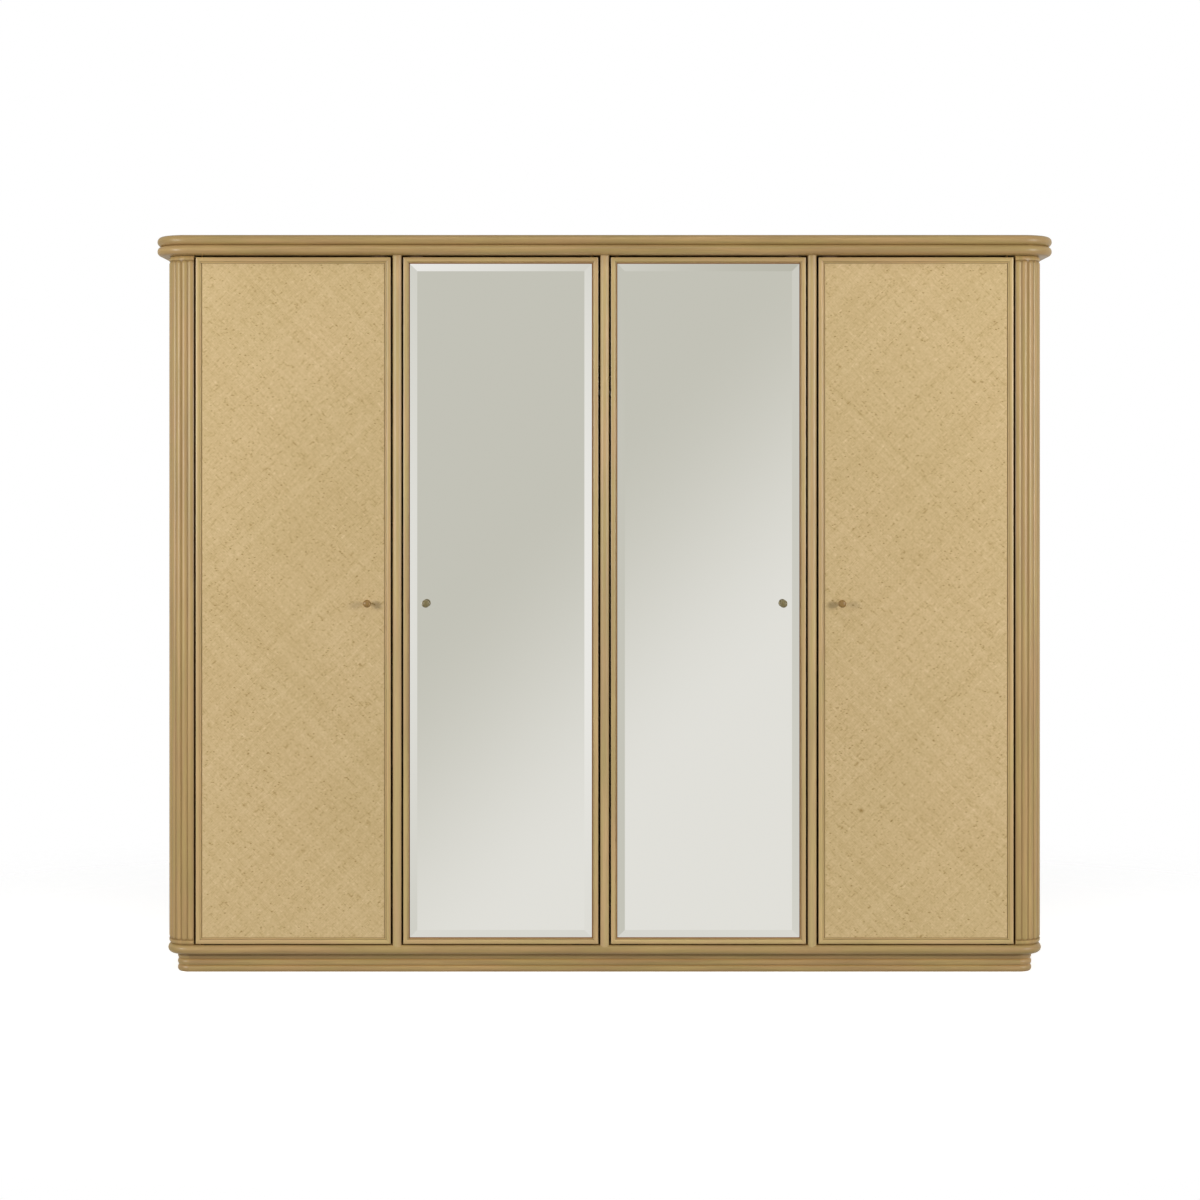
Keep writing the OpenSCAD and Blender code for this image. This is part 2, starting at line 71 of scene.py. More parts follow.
class ArmoireShapes(bpy.types.PropertyGroup):
    """Sizes of the fine shapes. The places come from the frame."""

    bead_swell: bpy.props.FloatProperty(
        name="Bead swell", description="How far a large bead swells out",
        default=11.8 * MM, min=0.004, max=0.0139, subtype="DISTANCE", unit="LENGTH")
    plinth_swell: bpy.props.FloatProperty(
        name="Plinth reed swell", description="How far a plinth reed swells out",
        default=4.0 * MM, min=0.001, max=0.008, subtype="DISTANCE", unit="LENGTH")
    plinth_reeds: bpy.props.IntProperty(
        name="Plinth reeds", description="Number of reeds on the plinth", default=3, min=2, max=4)
    post_radius: bpy.props.FloatProperty(
        name="Post radius", description="Radius of a post's rounded corner",
        default=63.0 * MM, min=0.055, max=0.07, subtype="DISTANCE", unit="LENGTH")
    corner_reeds: bpy.props.IntProperty(
        name="Corner reeds", description="Number of reeds round a post's corner", default=5, min=4, max=6)
    reed_depth: bpy.props.FloatProperty(
        name="Reed depth", description="Depth of the grooves between the reeds of a post",
        default=3.2 * MM, min=0.001, max=0.005, subtype="DISTANCE", unit="LENGTH")
    post_band: bpy.props.FloatProperty(
        name="Post band", description="Height of the plain band at each end of a post",
        default=13.5 * MM, min=0.008, max=0.03, subtype="DISTANCE", unit="LENGTH")
    post_shoulder: bpy.props.FloatProperty(
        name="Post shoulder", description="Radius of the rounded shoulder at each end of a post",
        default=8.8 * MM, min=0.004, max=0.012, subtype="DISTANCE", unit="LENGTH")
    mullion_swell: bpy.props.FloatProperty(
        name="Mullion swell", description="How far a mullion's front swells out",
        default=6.0 * MM, min=0.002, max=0.009, subtype="DISTANCE", unit="LENGTH")
    lip_width: bpy.props.FloatProperty(
        name="Lip width", description="Width of the low lip on the inner side of an edging",
        default=5.0 * MM, min=0.002, max=0.008, subtype="DISTANCE", unit="LENGTH")
    edging_swell: bpy.props.FloatProperty(
        name="Edging swell", description="How far the outer bead of an edging swells out",
        default=1.6 * MM, min=0.0005, max=0.003, subtype="DISTANCE", unit="LENGTH")
    strand_width: bpy.props.FloatProperty(
        name="Strand width", description="Width of one strand of the woven matting",
        default=6.4 * MM, min=0.0062, max=0.012, subtype="DISTANCE", unit="LENGTH")
    strand_relief: bpy.props.FloatProperty(
        name="Strand relief", description="Height of a strand's crown over the gaps between strands",
        default=0.75 * MM, min=0.0, max=0.0012, subtype="DISTANCE", unit="LENGTH")
    bevel_width: bpy.props.FloatProperty(
        name="Bevel width", description="Width of the bevel round a mirror",
        default=22.0 * MM, min=0.01, max=0.04, subtype="DISTANCE", unit="LENGTH")
    bevel_depth: bpy.props.FloatProperty(
        name="Bevel depth", description="Depth of the bevel at a mirror's edge",
        default=2.5 * MM, min=0.0005, max=0.004, subtype="DISTANCE", unit="LENGTH")


class ArmoireFinishes(bpy.types.PropertyGroup):
    """Colours of the finishes, in linear light."""

    wood: bpy.props.FloatVectorProperty(
        name="Pale wood", description="Colour of the pale wood outside", subtype="COLOR", size=3,
        default=(0.50, 0.345, 0.142), min=0.0, max=1.0)
    # Painted shade: this colour stands in for the shade that falls in the grooves of the pale wood, together
    # with some glaze that gathers there.
    wood_shade: bpy.props.FloatVectorProperty(
        name="Wood in grooves", description="Colour that gathers in the grooves of the pale wood",
        subtype="COLOR", size=3, default=(0.20, 0.115, 0.035), min=0.0, max=1.0)
    # Painted shade: this colour stands in for the shade in the gaps round the doors.
    wood_gap: bpy.props.FloatVectorProperty(
        name="Wood in the gaps",
        description="Colour of the wood's hidden edges, in the gaps round the doors",
        subtype="COLOR", size=3, default=(0.24, 0.102, 0.02), min=0.0, max=1.0)
    inside: bpy.props.FloatVectorProperty(
        name="Inside boards", description="Colour of the veneered boards inside", subtype="COLOR", size=3,
        default=(0.52, 0.39, 0.22), min=0.0, max=1.0)
    matting: bpy.props.FloatVectorProperty(
        name="Matting", description="Colour of the woven matting", subtype="COLOR", size=3,
        default=(0.614, 0.452, 0.229), min=0.0, max=1.0)
    silver: bpy.props.FloatVectorProperty(
        name="Mirror silver", description="Colour of the mirrors' silvering", subtype="COLOR", size=3,
        default=(0.80, 0.80, 0.77), min=0.0, max=1.0)
    knob: bpy.props.FloatVectorProperty(
        name="Knob wood", description="Colour of the turned knobs", subtype="COLOR", size=3,
        default=(0.265, 0.15, 0.036), min=0.0, max=1.0)
    bronze: bpy.props.FloatVectorProperty(
        name="Hinge bronze", description="Colour of the hinge leaves and pins", subtype="COLOR", size=3,
        default=(0.075, 0.04, 0.014), min=0.0, max=1.0)
    steel: bpy.props.FloatVectorProperty(
        name="Steel", description="Colour of the rails, pins and strike plates", subtype="COLOR", size=3,
        default=(0.56, 0.56, 0.54), min=0.0, max=1.0)
    catch: bpy.props.FloatVectorProperty(
        name="Catch housing", description="Colour of the catches' moulded housings", subtype="COLOR",
        size=3, default=(0.16, 0.095, 0.05), min=0.0, max=1.0)


class ArmoireStudio(bpy.types.PropertyGroup):
    """The camera and the lights."""

    camera_distance: bpy.props.FloatProperty(
        name="Camera distance", description="Distance from the camera to the doors",
        default=6.5, min=3.0, max=12.0, subtype="DISTANCE", unit="LENGTH")
    camera_height: bpy.props.FloatProperty(
        name="Camera height", description="Height of the camera over the floor",
        default=1.43, min=0.3, max=2.5, subtype="DISTANCE", unit="LENGTH")
    lens: bpy.props.FloatProperty(
        name="Lens", description="Focal length of the camera",
        default=67.5, min=20.0, max=200.0, subtype="DISTANCE_CAMERA", unit="CAMERA")
    side_power: bpy.props.FloatProperty(
        name="Side light power", description="Power of each front side light",
        default=114.0, min=0.0, max=2000.0, subtype="POWER", unit="POWER")
    top_power: bpy.props.FloatProperty(
        name="Top light power", description="Power of the overhead light",
        default=26.0, min=0.0, max=2000.0, subtype="POWER", unit="POWER")
    low_power: bpy.props.FloatProperty(
        name="Low light power", description="Power of the low light before the plinth",
        default=1.5, min=0.0, max=2000.0, subtype="POWER", unit="POWER")
    ambient: bpy.props.FloatProperty(
        name="Ambient", description="Brightness of the room's even light", default=0.19, min=0.0, max=3.0)


# ---------- mesh building ----------

class Shape:
    """Gathers points and faces. Each face corner has a grain place: along, across and board.

    The board number gives each board its own figure. Recess is 0 on open surfaces and 1 in a groove; it sets
    the painted shade, and above 1 the painted gap shade.
    """

    def __init__(self):
        self.points, self.faces, self.grain = [], [], []
        self.recess, self.corner_recess = [], []

    def point(self, place, recess=0.0):
        self.points.append(tuple(place))
        self.recess.append(recess)
        return len(self.points) - 1

    def face(self, corners, grain, recess=None):
        self.faces.append(tuple(corners))
        self.grain.extend(grain)
        self.corner_recess.extend(self.recess[i] if recess is None else recess for i in corners)

    def make(self, name, material):
        """The finished mesh object, with its grain and recess attributes."""
        mesh = bpy.data.meshes.new(name)
        mesh.from_pydata(self.points, [], self.faces)
        grain = mesh.attributes.new("grain", "FLOAT_VECTOR", "CORNER")
        grain.data.foreach_set("vector", np.array(self.grain, np.float32).ravel())
        recess = mesh.attributes.new("recess", "FLOAT", "CORNER")
        recess.data.foreach_set("value", np.array(self.corner_recess, np.float32))
        return finish_mesh(mesh, name, material)


def finish_mesh(mesh, name, material, crease_deg=38.0):
    """Makes an object of a mesh: validated, with smooth faces and sharp edges at its creases."""
    mesh.validate()
    mesh.materials.append(material)
    mesh.polygons.foreach_set("use_smooth", np.ones(len(mesh.polygons), bool))
    mesh.set_sharp_from_angle(angle=math.radians(crease_deg))
    mesh.update()
    obj = bpy.data.objects.new(name, mesh)
    bpy.context.scene.collection.objects.link(obj)
    return obj


def settle(obj, node_names, body):
    """Puts a piece on its body in place of its CAD nodes."""
    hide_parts(*node_names)
    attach(obj, body)


def arc_radius(chord, swell):
    return (chord * chord / 4 + swell * swell) / (2 * swell)


def bead_profile(height, swell, steps):
    """Points across a bead from the top down: inset from the crown, height and recess."""
    radius = arc_radius(height, swell)
    half_angle = math.asin(height / 2 / radius)
    points = []
    for k in range(steps + 1):
        angle = half_angle * (1 - 2 * k / steps)
        inset = radius * (1 - math.cos(angle))
        # The recess grows towards the bead's edges, where it paints shade into the groove.
        points.append((inset, height / 2 + radius * math.sin(angle), (inset / swell) ** 4))
    return points


def stacked_profile(z0, height, count, swell, steps=14):
    """A stack of beads from the top down, sharing the grooves between them."""
    points = []
    for k in reversed(range(count)):
        bead = bead_profile(height, swell, steps)
        if points:
            bead = bead[1:]
        points += [(inset, z0 + k * height + z, recess) for inset, z, recess in bead]
    return points


def rounded_route(half_w, front, back, radius, steps=18):
    """Stations from the back left, round the front, to the back right.

    Each has the centre's x and y, the outward x and y, and the run so far.
    """
    cx, cy = half_w - radius, front + radius
    stations = [(-cx, back, -1.0, 0.0, 0.0)]
    run = back - cy
    for k in range(steps + 1):
        angle = math.pi + math.pi / 2 * k / steps
        stations.append((-cx, cy, math.cos(angle), math.sin(angle), run + radius * math.pi / 2 * k / steps))
    run += radius * math.pi / 2 + 2 * cx
    for k in range(steps + 1):
        angle = 1.5 * math.pi + math.pi / 2 * k / steps
        stations.append((cx, cy, math.cos(angle), math.sin(angle), run + radius * math.pi / 2 * k / steps))
    stations.append((cx, back, 1.0, 0.0, run + radius * math.pi / 2 + back - cy))
    return stations


def edge_strip(shape, stations, reach, profile, board):
    """The moulded edge along a route. Returns the point indices by station."""
    rows = []
    for cx, cy, nx, ny, _ in stations:
        rows.append([shape.point((cx + nx * (reach - inset), cy + ny * (reach - inset), z), recess)
                     for inset, z, recess in profile])
    across = [0.0]
    for a, b in zip(profile, profile[1:]):
        across.append(across[-1] + math.hypot(a[0] - b[0], a[1] - b[1]))
    for a, b, left, right in zip(stations, stations[1:], rows, rows[1:]):
        for j in range(len(profile) - 1):
            shape.face((left[j], left[j + 1], right[j + 1], right[j]),
                       ((a[4], across[j], board), (a[4], across[j + 1], board),
                        (b[4], across[j + 1], board), (b[4], across[j], board)))
    return rows


def flat_face(shape, corners, board, recess=0.0):
    """A flat face whose grain runs along X."""
    grain = []
    for i in corners:
        x, y, z = shape.points[i]
        grain.append((x, y + z, board))
    shape.face(corners, grain, recess)


def moulded_board(node_name, front, back, half_w, radius, profile, board, material, top_shade=0.0):
    """A board with a moulded front, sides and rounded front corners."""
    shape = Shape()
    stations = rounded_route(half_w, front, back, radius)
    rows = edge_strip(shape, stations, radius, profile, board)
    flat_face(shape, [row[0] for row in rows], board, recess=top_shade)
    flat_face(shape, [row[-1] for row in reversed(rows)], board)
    flat_face(shape, [*reversed(rows[0]), *rows[-1]], board)
    settle(shape.make(node_name + "_moulded", material), [node_name], "case")


def moulded_rail(shape, stations, reach, thickness, profile, board):
    """A rail of one thickness with a moulded outer face, capped at both ends."""
    top, bottom = profile[0][1], profile[-1][1]
    closed = [*profile, (thickness, bottom, 0.0), (thickness, top, 0.0), profile[0]]
    rows = edge_strip(shape, stations, reach, closed[:-1], board)
    for a, b, left, right in zip(stations, stations[1:], rows, rows[1:]):
        shape.face((left[-1], left[0], right[0], right[-1]),
                   ((a[4], 0.0, board), (a[4], thickness, board),
                    (b[4], thickness, board), (b[4], 0.0, board)))
    flat_face(shape, list(reversed(rows[0])), board)
    flat_face(shape, rows[-1], board)


# ---------- node trees ----------

class Tree:
    """The node tree of a material or a world, with short calls for the nodes it uses."""

    def __init__(self, owner):
        owner.use_nodes = True
        self.owner = owner
        self.nodes, self.links = owner.node_tree.nodes, owner.node_tree.links
        self.shader = self.nodes.get("Principled BSDF")

    def add(self, kind, **settings):
        node = self.nodes.new(kind)
        for key, value in settings.items():
            setattr(node, key, value)
        return node

    def feed(self, socket, value):
        if isinstance(value, bpy.types.NodeSocket):
            self.links.new(value, socket)
        else:
            socket.default_value = value

    def maths(self, operation, a, b=0.0):
        node = self.add("ShaderNodeMath", operation=operation)
        self.feed(node.inputs[0], a)
        self.feed(node.inputs[1], b)
        return node.outputs[0]

    def place(self, output="Object"):
        return self.add("ShaderNodeTexCoord").outputs[output]

    def split(self, vector):
        node = self.add("ShaderNodeSeparateXYZ")
        self.feed(node.inputs[0], vector)
        return node.outputs

    def join(self, parts, kind="ShaderNodeCombineXYZ"):
        node = self.add(kind)
        for socket, value in zip(node.inputs, parts):
            self.feed(socket, value)
        return node.outputs[0]

    def stretch(self, vector, scale):
        node = self.add("ShaderNodeVectorMath", operation="MULTIPLY")
        self.feed(node.inputs[0], vector)
        node.inputs[1].default_value = scale
        return node.outputs[0]

    def noise(self, vector, detail=3.0, roughness=0.55, distortion=0.0):
        node = self.add("ShaderNodeTexNoise")
        for key, value in (("Vector", vector), ("Scale", 1.0), ("Detail", detail), ("Roughness", roughness),
                           ("Distortion", distortion)):
            self.feed(node.inputs[key], value)
        return node.outputs["Fac"]

    def between(self, value, low, high, to_low=0.0, to_high=1.0, interpolation="LINEAR"):
        node = self.add("ShaderNodeMapRange", interpolation_type=interpolation)
        for key, number in (("Value", value), ("From Min", low), ("From Max", high), ("To Min", to_low),
                            ("To Max", to_high)):
            self.feed(node.inputs[key], number)
        return node.outputs["Result"]

    def mix(self, factor, a, b, blend_type="MIX"):
        node = self.add("ShaderNodeMix", data_type="RGBA", blend_type=blend_type)
        self.feed(node.inputs["Factor"], factor)
        self.feed(node.inputs["A"], a if isinstance(a, bpy.types.NodeSocket) else (*a, 1.0))
        self.feed(node.inputs["B"], b if isinstance(b, bpy.types.NodeSocket) else (*b, 1.0))
        return node.outputs["Result"]

    def attribute(self, name, output="Vector"):
        return self.add("ShaderNodeAttribute", attribute_name=name).outputs[output]

    def bump(self, height, strength, distance):
        node = self.add("ShaderNodeBump")
        node.inputs["Strength"].default_value = strength
        node.inputs["Distance"].default_value = distance
        self.feed(node.inputs["Height"], height)
        self.feed(self.shader.inputs["Normal"], node.outputs["Normal"])

    def set(self, **values):
        for key, value in values.items():
            self.feed(self.shader.inputs[key.replace("_", " ")], value)


_finishes = {}


def once(name, maker, *words):
    """Each finish is made once and shared by its pieces."""
    if name not in _finishes:
        _finishes[name] = maker(name, *words)
    return _finishes[name]


def scaled(colour, factor):
    """A colour made lighter or darker by one factor, or by one for each of red, green and blue."""
    factors = factor if isinstance(factor, tuple) else (factor,) * 3
    return tuple(min(1.0, c * f) for c, f in zip(colour, factors))


def grain_place(tree, along):
    """Grain coordinates: a built piece's attribute, or the place in a node with the grain along an axis."""
    if along is None:
        return tree.attribute("grain")
    turn = {"X": (0.0, 0.0, 0.0), "Y": (0.0, 0.0, -math.pi / 2), "Z": (0.0, math.pi / 2, 0.0)}[along]
    node = tree.add("ShaderNodeMapping")
    tree.feed(node.inputs["Vector"], tree.place())
    node.inputs["Rotation"].default_value = turn
    return node.outputs["Vector"]


# How finely each figure of the wood is drawn: along the grain, across it, and from board to board.
BAND_GRAIN = (2.4, 38.0, 17.0)
STREAK_GRAIN = (6.0, 150.0, 31.0)
FIBRE_GRAIN = (9.0, 900.0, 53.0)
HUE_GRAIN = (4.2, 45.0, 71.0)


def wood(name, colour, shade, along=None, roughness=0.42, contrast=1.0, gap=None, front=None,
         polish=1.0):
    """Straight-grained wood with streaks, fine pores and painted shade in the grooves.

    Hidden edges take the painted gap shade: those marked in the recess attribute, or those before the front
    plane.
    """
    tree = Tree(bpy.data.materials.new(name))
    place = grain_place(tree, along)
    bands = tree.noise(tree.stretch(place, BAND_GRAIN), detail=2.0, distortion=0.25)
    streaks = tree.noise(tree.stretch(place, STREAK_GRAIN), detail=4.0, roughness=0.6)
    fibres = tree.noise(tree.stretch(place, FIBRE_GRAIN), detail=3.0, roughness=0.65)
    hue = tree.noise(tree.stretch(place, HUE_GRAIN), detail=2.0)
    light, dark = scaled(colour, 1 + 0.13 * contrast), scaled(colour, 1 - 0.16 * contrast)
    tone = tree.mix(tree.between(bands, 0.33, 0.67), dark, light)
    streaked = tree.mix(tree.between(streaks, 0.42, 0.68, 0.0, 0.42 * contrast),
                        tone, scaled(colour, 0.66))
    warm, olive = scaled(colour, (1.04, 0.93, 0.97)), scaled(colour, (0.94, 1.02, 0.84))
    toned = tree.mix(0.4, streaked, tree.mix(tree.between(hue, 0.40, 0.60), warm, olive))
    surface = tree.mix(tree.between(fibres, 0.56, 0.74, 0.0, 0.4 * contrast), toned, scaled(colour, 0.5))
    if along is None:
        # Painted shade: the groove shade grows with the recess, and beyond a recess of 1 the painted gap
        # shade takes over.
        recess = tree.attribute("recess", "Fac")
        surface = tree.mix(tree.between(recess, 0.25, 1.0, 0.0, 0.72), surface, shade)
        surface = tree.mix(tree.between(recess, 1.0, GAP_SHADE), surface, gap)
    elif front is not None:
        # Painted gap shade on the faces before the front plane.
        depth = tree.split(tree.place())[1]
        surface = tree.mix(tree.between(depth, front, front + 1 * MM, 1.0, 0.0), surface, gap)
    tree.set(Base_Color=surface,
             Roughness=tree.between(fibres, 0.3, 0.7, roughness - 0.05, roughness + 0.09))
    tree.set(Specular_IOR_Level=0.36 * polish, Coat_Weight=0.13 * polish, Coat_Roughness=0.26)
    tree.bump(tree.maths("ADD", fibres, streaks), 0.25, 0.0004)
    return tree.owner


# Tone of the pale wood by piece, as factors for red, green and blue, and the strength of its grain.
WOOD_TONES = {"level": ((0.845, 0.82, 0.79), 1.45), "post": ((0.925, 0.9, 0.87), 1.25),
              "mullion": ((1.10, 1.14, 1.29), 1.0), "edging": ((1.13, 1.16, 1.26), 1.1)}


def pale_wood(context, piece):
    """The outside wood. The cornice, the base board and the plinth are a shade darker, the mullions paler."""
    finish = context.scene.armoire_finishes
    tone, contrast = WOOD_TONES[piece]
    shade = tuple(finish.wood_shade)
    # The painted groove shade is lighter and redder on the cornice, the base board and the plinth.
    if piece == "level":
        shade = scaled(shade, (2.1, 1.8, 1.2))
    colour, gap = scaled(tuple(finish.wood), tone), tuple(finish.wood_gap)
    return once("pale_wood_" + piece, wood, colour, shade, None, 0.42, contrast, gap)


def matting_finish(name, colour):
    """Woven natural strands: each strand has its own tone, and the strands cross over and under."""
    tree = Tree(bpy.data.materials.new(name))
    rising, falling = tree.split(tree.attribute("weave"))[:2]

    def whole(value):
        return tree.maths("FLOOR", tree.maths("ADD", value, 0.5))

    def centred(value, reach):
        return tree.maths("MULTIPLY", tree.maths("SUBTRACT", value, 0.5), reach)

    def strand_tone(across, along, seed):
        """A strand's own tone with its bands and fibres, and the dark and light dashes along it."""
        def drawn(across_scale, along_scale, shift, detail):
            return tree.noise(tree.join((tree.maths("MULTIPLY", across, across_scale),
                                         tree.maths("MULTIPLY", along, along_scale), seed + shift)),
                              detail=detail)

        number = tree.add("ShaderNodeTexWhiteNoise", noise_dimensions="2D")
        tree.feed(number.inputs["Vector"], tree.join((whole(across), seed)))
        bands, fibres = drawn(0.13, 0.012, 0.0, 2.0), drawn(5.0, 0.22, 3.0, 2.0)
        dashes = drawn(2.3, 0.34, 5.0, 1.0)
        tone = tree.maths("ADD", tree.maths("ADD", centred(number.outputs["Value"], 0.07),
                                            centred(bands, 0.08)), centred(fibres, 0.24))
        return tone, tree.maths("ADD", tree.between(dashes, 0.58, 0.70, 0.0, -0.12),
                                tree.between(dashes, 0.28, 0.40, 0.07, 0.0))

    over = tree.maths("PINGPONG", tree.maths("ADD", whole(rising), whole(falling)), 1.0)
    one, one_dashes = strand_tone(rising, falling, 1.0)
    two, two_dashes = strand_tone(falling, rising, 7.0)
    top = tree.maths("ADD", tree.maths("MULTIPLY", one, over),
                     tree.maths("MULTIPLY", two, tree.maths("SUBTRACT", 1.0, over)))
    level = tree.maths("ADD", tree.maths("ADD", 1.0, top), tree.attribute("tone", "Fac"))
    level = tree.maths("ADD", level, tree.maths("ADD", one_dashes, two_dashes))
    # Dark strands are browner than light ones, so blue falls off faster than red.
    shading = tree.join([tree.maths("POWER", level, power) for power in (0.9, 1.1, 1.7)],
                        "ShaderNodeCombineColor")
    patch = tree.noise(tree.stretch(tree.attribute("weave"), (0.018, 0.018, 1.0)), detail=1.0)
    base = tree.mix(tree.between(patch, 0.35, 0.65), scaled(colour, 1.02),
                    scaled(colour, (0.98, 0.985, 0.96)))
    tree.set(Base_Color=tree.mix(1.0, base, shading, "MULTIPLY"), Roughness=0.72)
    tree.set(Specular_IOR_Level=0.25, Sheen_Weight=0.12, Sheen_Roughness=0.5)
    tree.bump(top, 0.35, 0.0006)
    return tree.owner


def mirror_finish(name, colour):
    """Silvered glass with the faintest haze."""
    tree = Tree(bpy.data.materials.new(name))
    place = tree.place()
    haze = tree.noise(tree.stretch(place, (3.0, 3.0, 2.0)), detail=2.0)
    tree.set(Base_Color=tree.mix(haze, scaled(colour, 0.995), colour), Metallic=1.0)
    tree.set(Roughness=tree.between(haze, 0.3, 0.7, 0.012, 0.03))
    return tree.owner


def turned_wood(name, colour):
    """Close brown wood with turning rings."""
    tree = Tree(bpy.data.materials.new(name))
    place = tree.place()
    rings = tree.noise(tree.stretch(place, (260.0, 1500.0, 260.0)), detail=3.0)
    figure = tree.noise(tree.stretch(place, (500.0, 60.0, 90.0)), detail=3.0)
    tone = tree.mix(tree.between(figure, 0.35, 0.65), scaled(colour, 0.8), scaled(colour, 1.25))
    tree.set(Base_Color=tree.mix(tree.between(rings, 0.5, 0.75, 0.0, 0.4), tone, scaled(colour, 0.55)))
    tree.set(Roughness=tree.between(rings, 0.3, 0.7, 0.36, 0.48), Coat_Weight=0.12, Coat_Roughness=0.25)
    tree.bump(rings, 0.15, 0.0002)
    return tree.owner


def metal(name, colour, roughness, brushed):
    """Brushed metal with fine scratches along one axis and a little tarnish."""
    tree = Tree(bpy.data.materials.new(name))
    place = tree.place()
    scratches = tree.noise(tree.stretch(place, brushed), detail=4.0)
    tarnish = tree.noise(tree.stretch(place, (40.0, 40.0, 40.0)), detail=3.0)
    tree.set(Base_Color=tree.mix(tree.between(tarnish, 0.4, 0.75, 0.0, 0.5), colour, scaled(colour, 0.7)))
    tree.set(Metallic=1.0, Roughness=tree.between(scratches, 0.3, 0.7, roughness - 0.08, roughness + 0.1))
    tree.bump(scratches, 0.12, 0.0001)
    return tree.owner


def moulded_plastic(name, colour):
    """Fine-grained moulded plastic."""
    tree = Tree(bpy.data.materials.new(name))
    place = tree.place()
    grain = tree.noise(tree.stretch(place, (900.0, 900.0, 900.0)), detail=2.0)
    tree.set(Base_Color=tree.mix(grain, scaled(colour, 0.85), scaled(colour, 1.15)))
    tree.set(Roughness=tree.between(grain, 0.3, 0.7, 0.5, 0.62))
    tree.bump(grain, 0.2, 0.0002)
    return tree.owner


def dress(node_names, material):
    """Gives CAD nodes a finish."""
    for node_name in node_names:
        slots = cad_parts[node_name].data.materials
        slots.clear()
        slots.append(material)


# ---------- the pieces ----------

class ARMOIRE_OT_cornice_and_base(bpy.types.Operator):
    """Build the two beaded boards of the cornice and the beaded base board"""

    bl_idname = "armoire.cornice_and_base"
    bl_label = "Cornice and base board"

    def execute(self, context):
        shapes = context.scene.armoire_shapes
        material = pale_wood(context, "level")
        # Painted shade on the base board's top.
        base_top_shade = 0.7  # it lies in the shade of the gap under the doors
        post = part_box("post_right")
        for board, node_name in enumerate(("cornice_upper", "cornice_lower", "base_board")):
            low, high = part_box(node_name)
            radius = shapes.post_radius + post[0].y - low.y
            profile = stacked_profile(low.z, high.z - low.z, 1, shapes.bead_swell)
            moulded_board(node_name, low.y, high.y, high.x, radius, profile, board * 3.7, material,
                          base_top_shade if node_name == "base_board" else 0.0)
        return {"FINISHED"}


class ARMOIRE_OT_plinth(bpy.types.Operator):
    """Build the reeded plinth: its front and side rails and its two rounded corners"""

    bl_idname = "armoire.plinth"
    bl_label = "Plinth"

    def execute(self, context):
        shapes = context.scene.armoire_shapes
        material = pale_wood(context, "level")
        front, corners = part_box("plinth_front"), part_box("plinth_corners")
        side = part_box("plinth_right")
        half_w, front_y, back_y = corners[1].x, corners[0].y, side[1].y
        radius = half_w - front[1].x
        thickness = side[1].x - side[0].x
        reed_h = (front[1].z - front[0].z) / shapes.plinth_reeds
        profile = stacked_profile(front[0].z, reed_h, shapes.plinth_reeds, shapes.plinth_swell, 10)
        route = rounded_route(half_w, front_y, back_y, radius)
        turn = (len(route) - 2) // 2
        parts = (("plinth_left", [route[:2]]), ("plinth_right", [route[-2:]]),
                 ("plinth_front", [route[turn:turn + 2]]),
                 ("plinth_corners", [route[1:turn + 1], route[turn + 1:-1]]))
        for board, (node_name, runs) in enumerate(parts):
            shape = Shape()
            for run in runs:
                moulded_rail(shape, run, radius, thickness, profile, 20 + board * 2.3)
            settle(shape.make(node_name + "_reeded", material), [node_name], "case")
        return {"FINISHED"}


def reed_depth_at(across, end_distance, half_reed, depth):
    """How deep the surface lies at a place on a reed: round in section, with a rounded tip."""
    from_centre = abs(across)
    if end_distance < half_reed:
        from_centre = math.hypot(across, half_reed - max(end_distance, 0.0))
    from_centre = min(from_centre, half_reed)
    radius = arc_radius(2 * half_reed, depth)
    return radius - math.sqrt(radius * radius - from_centre * from_centre)


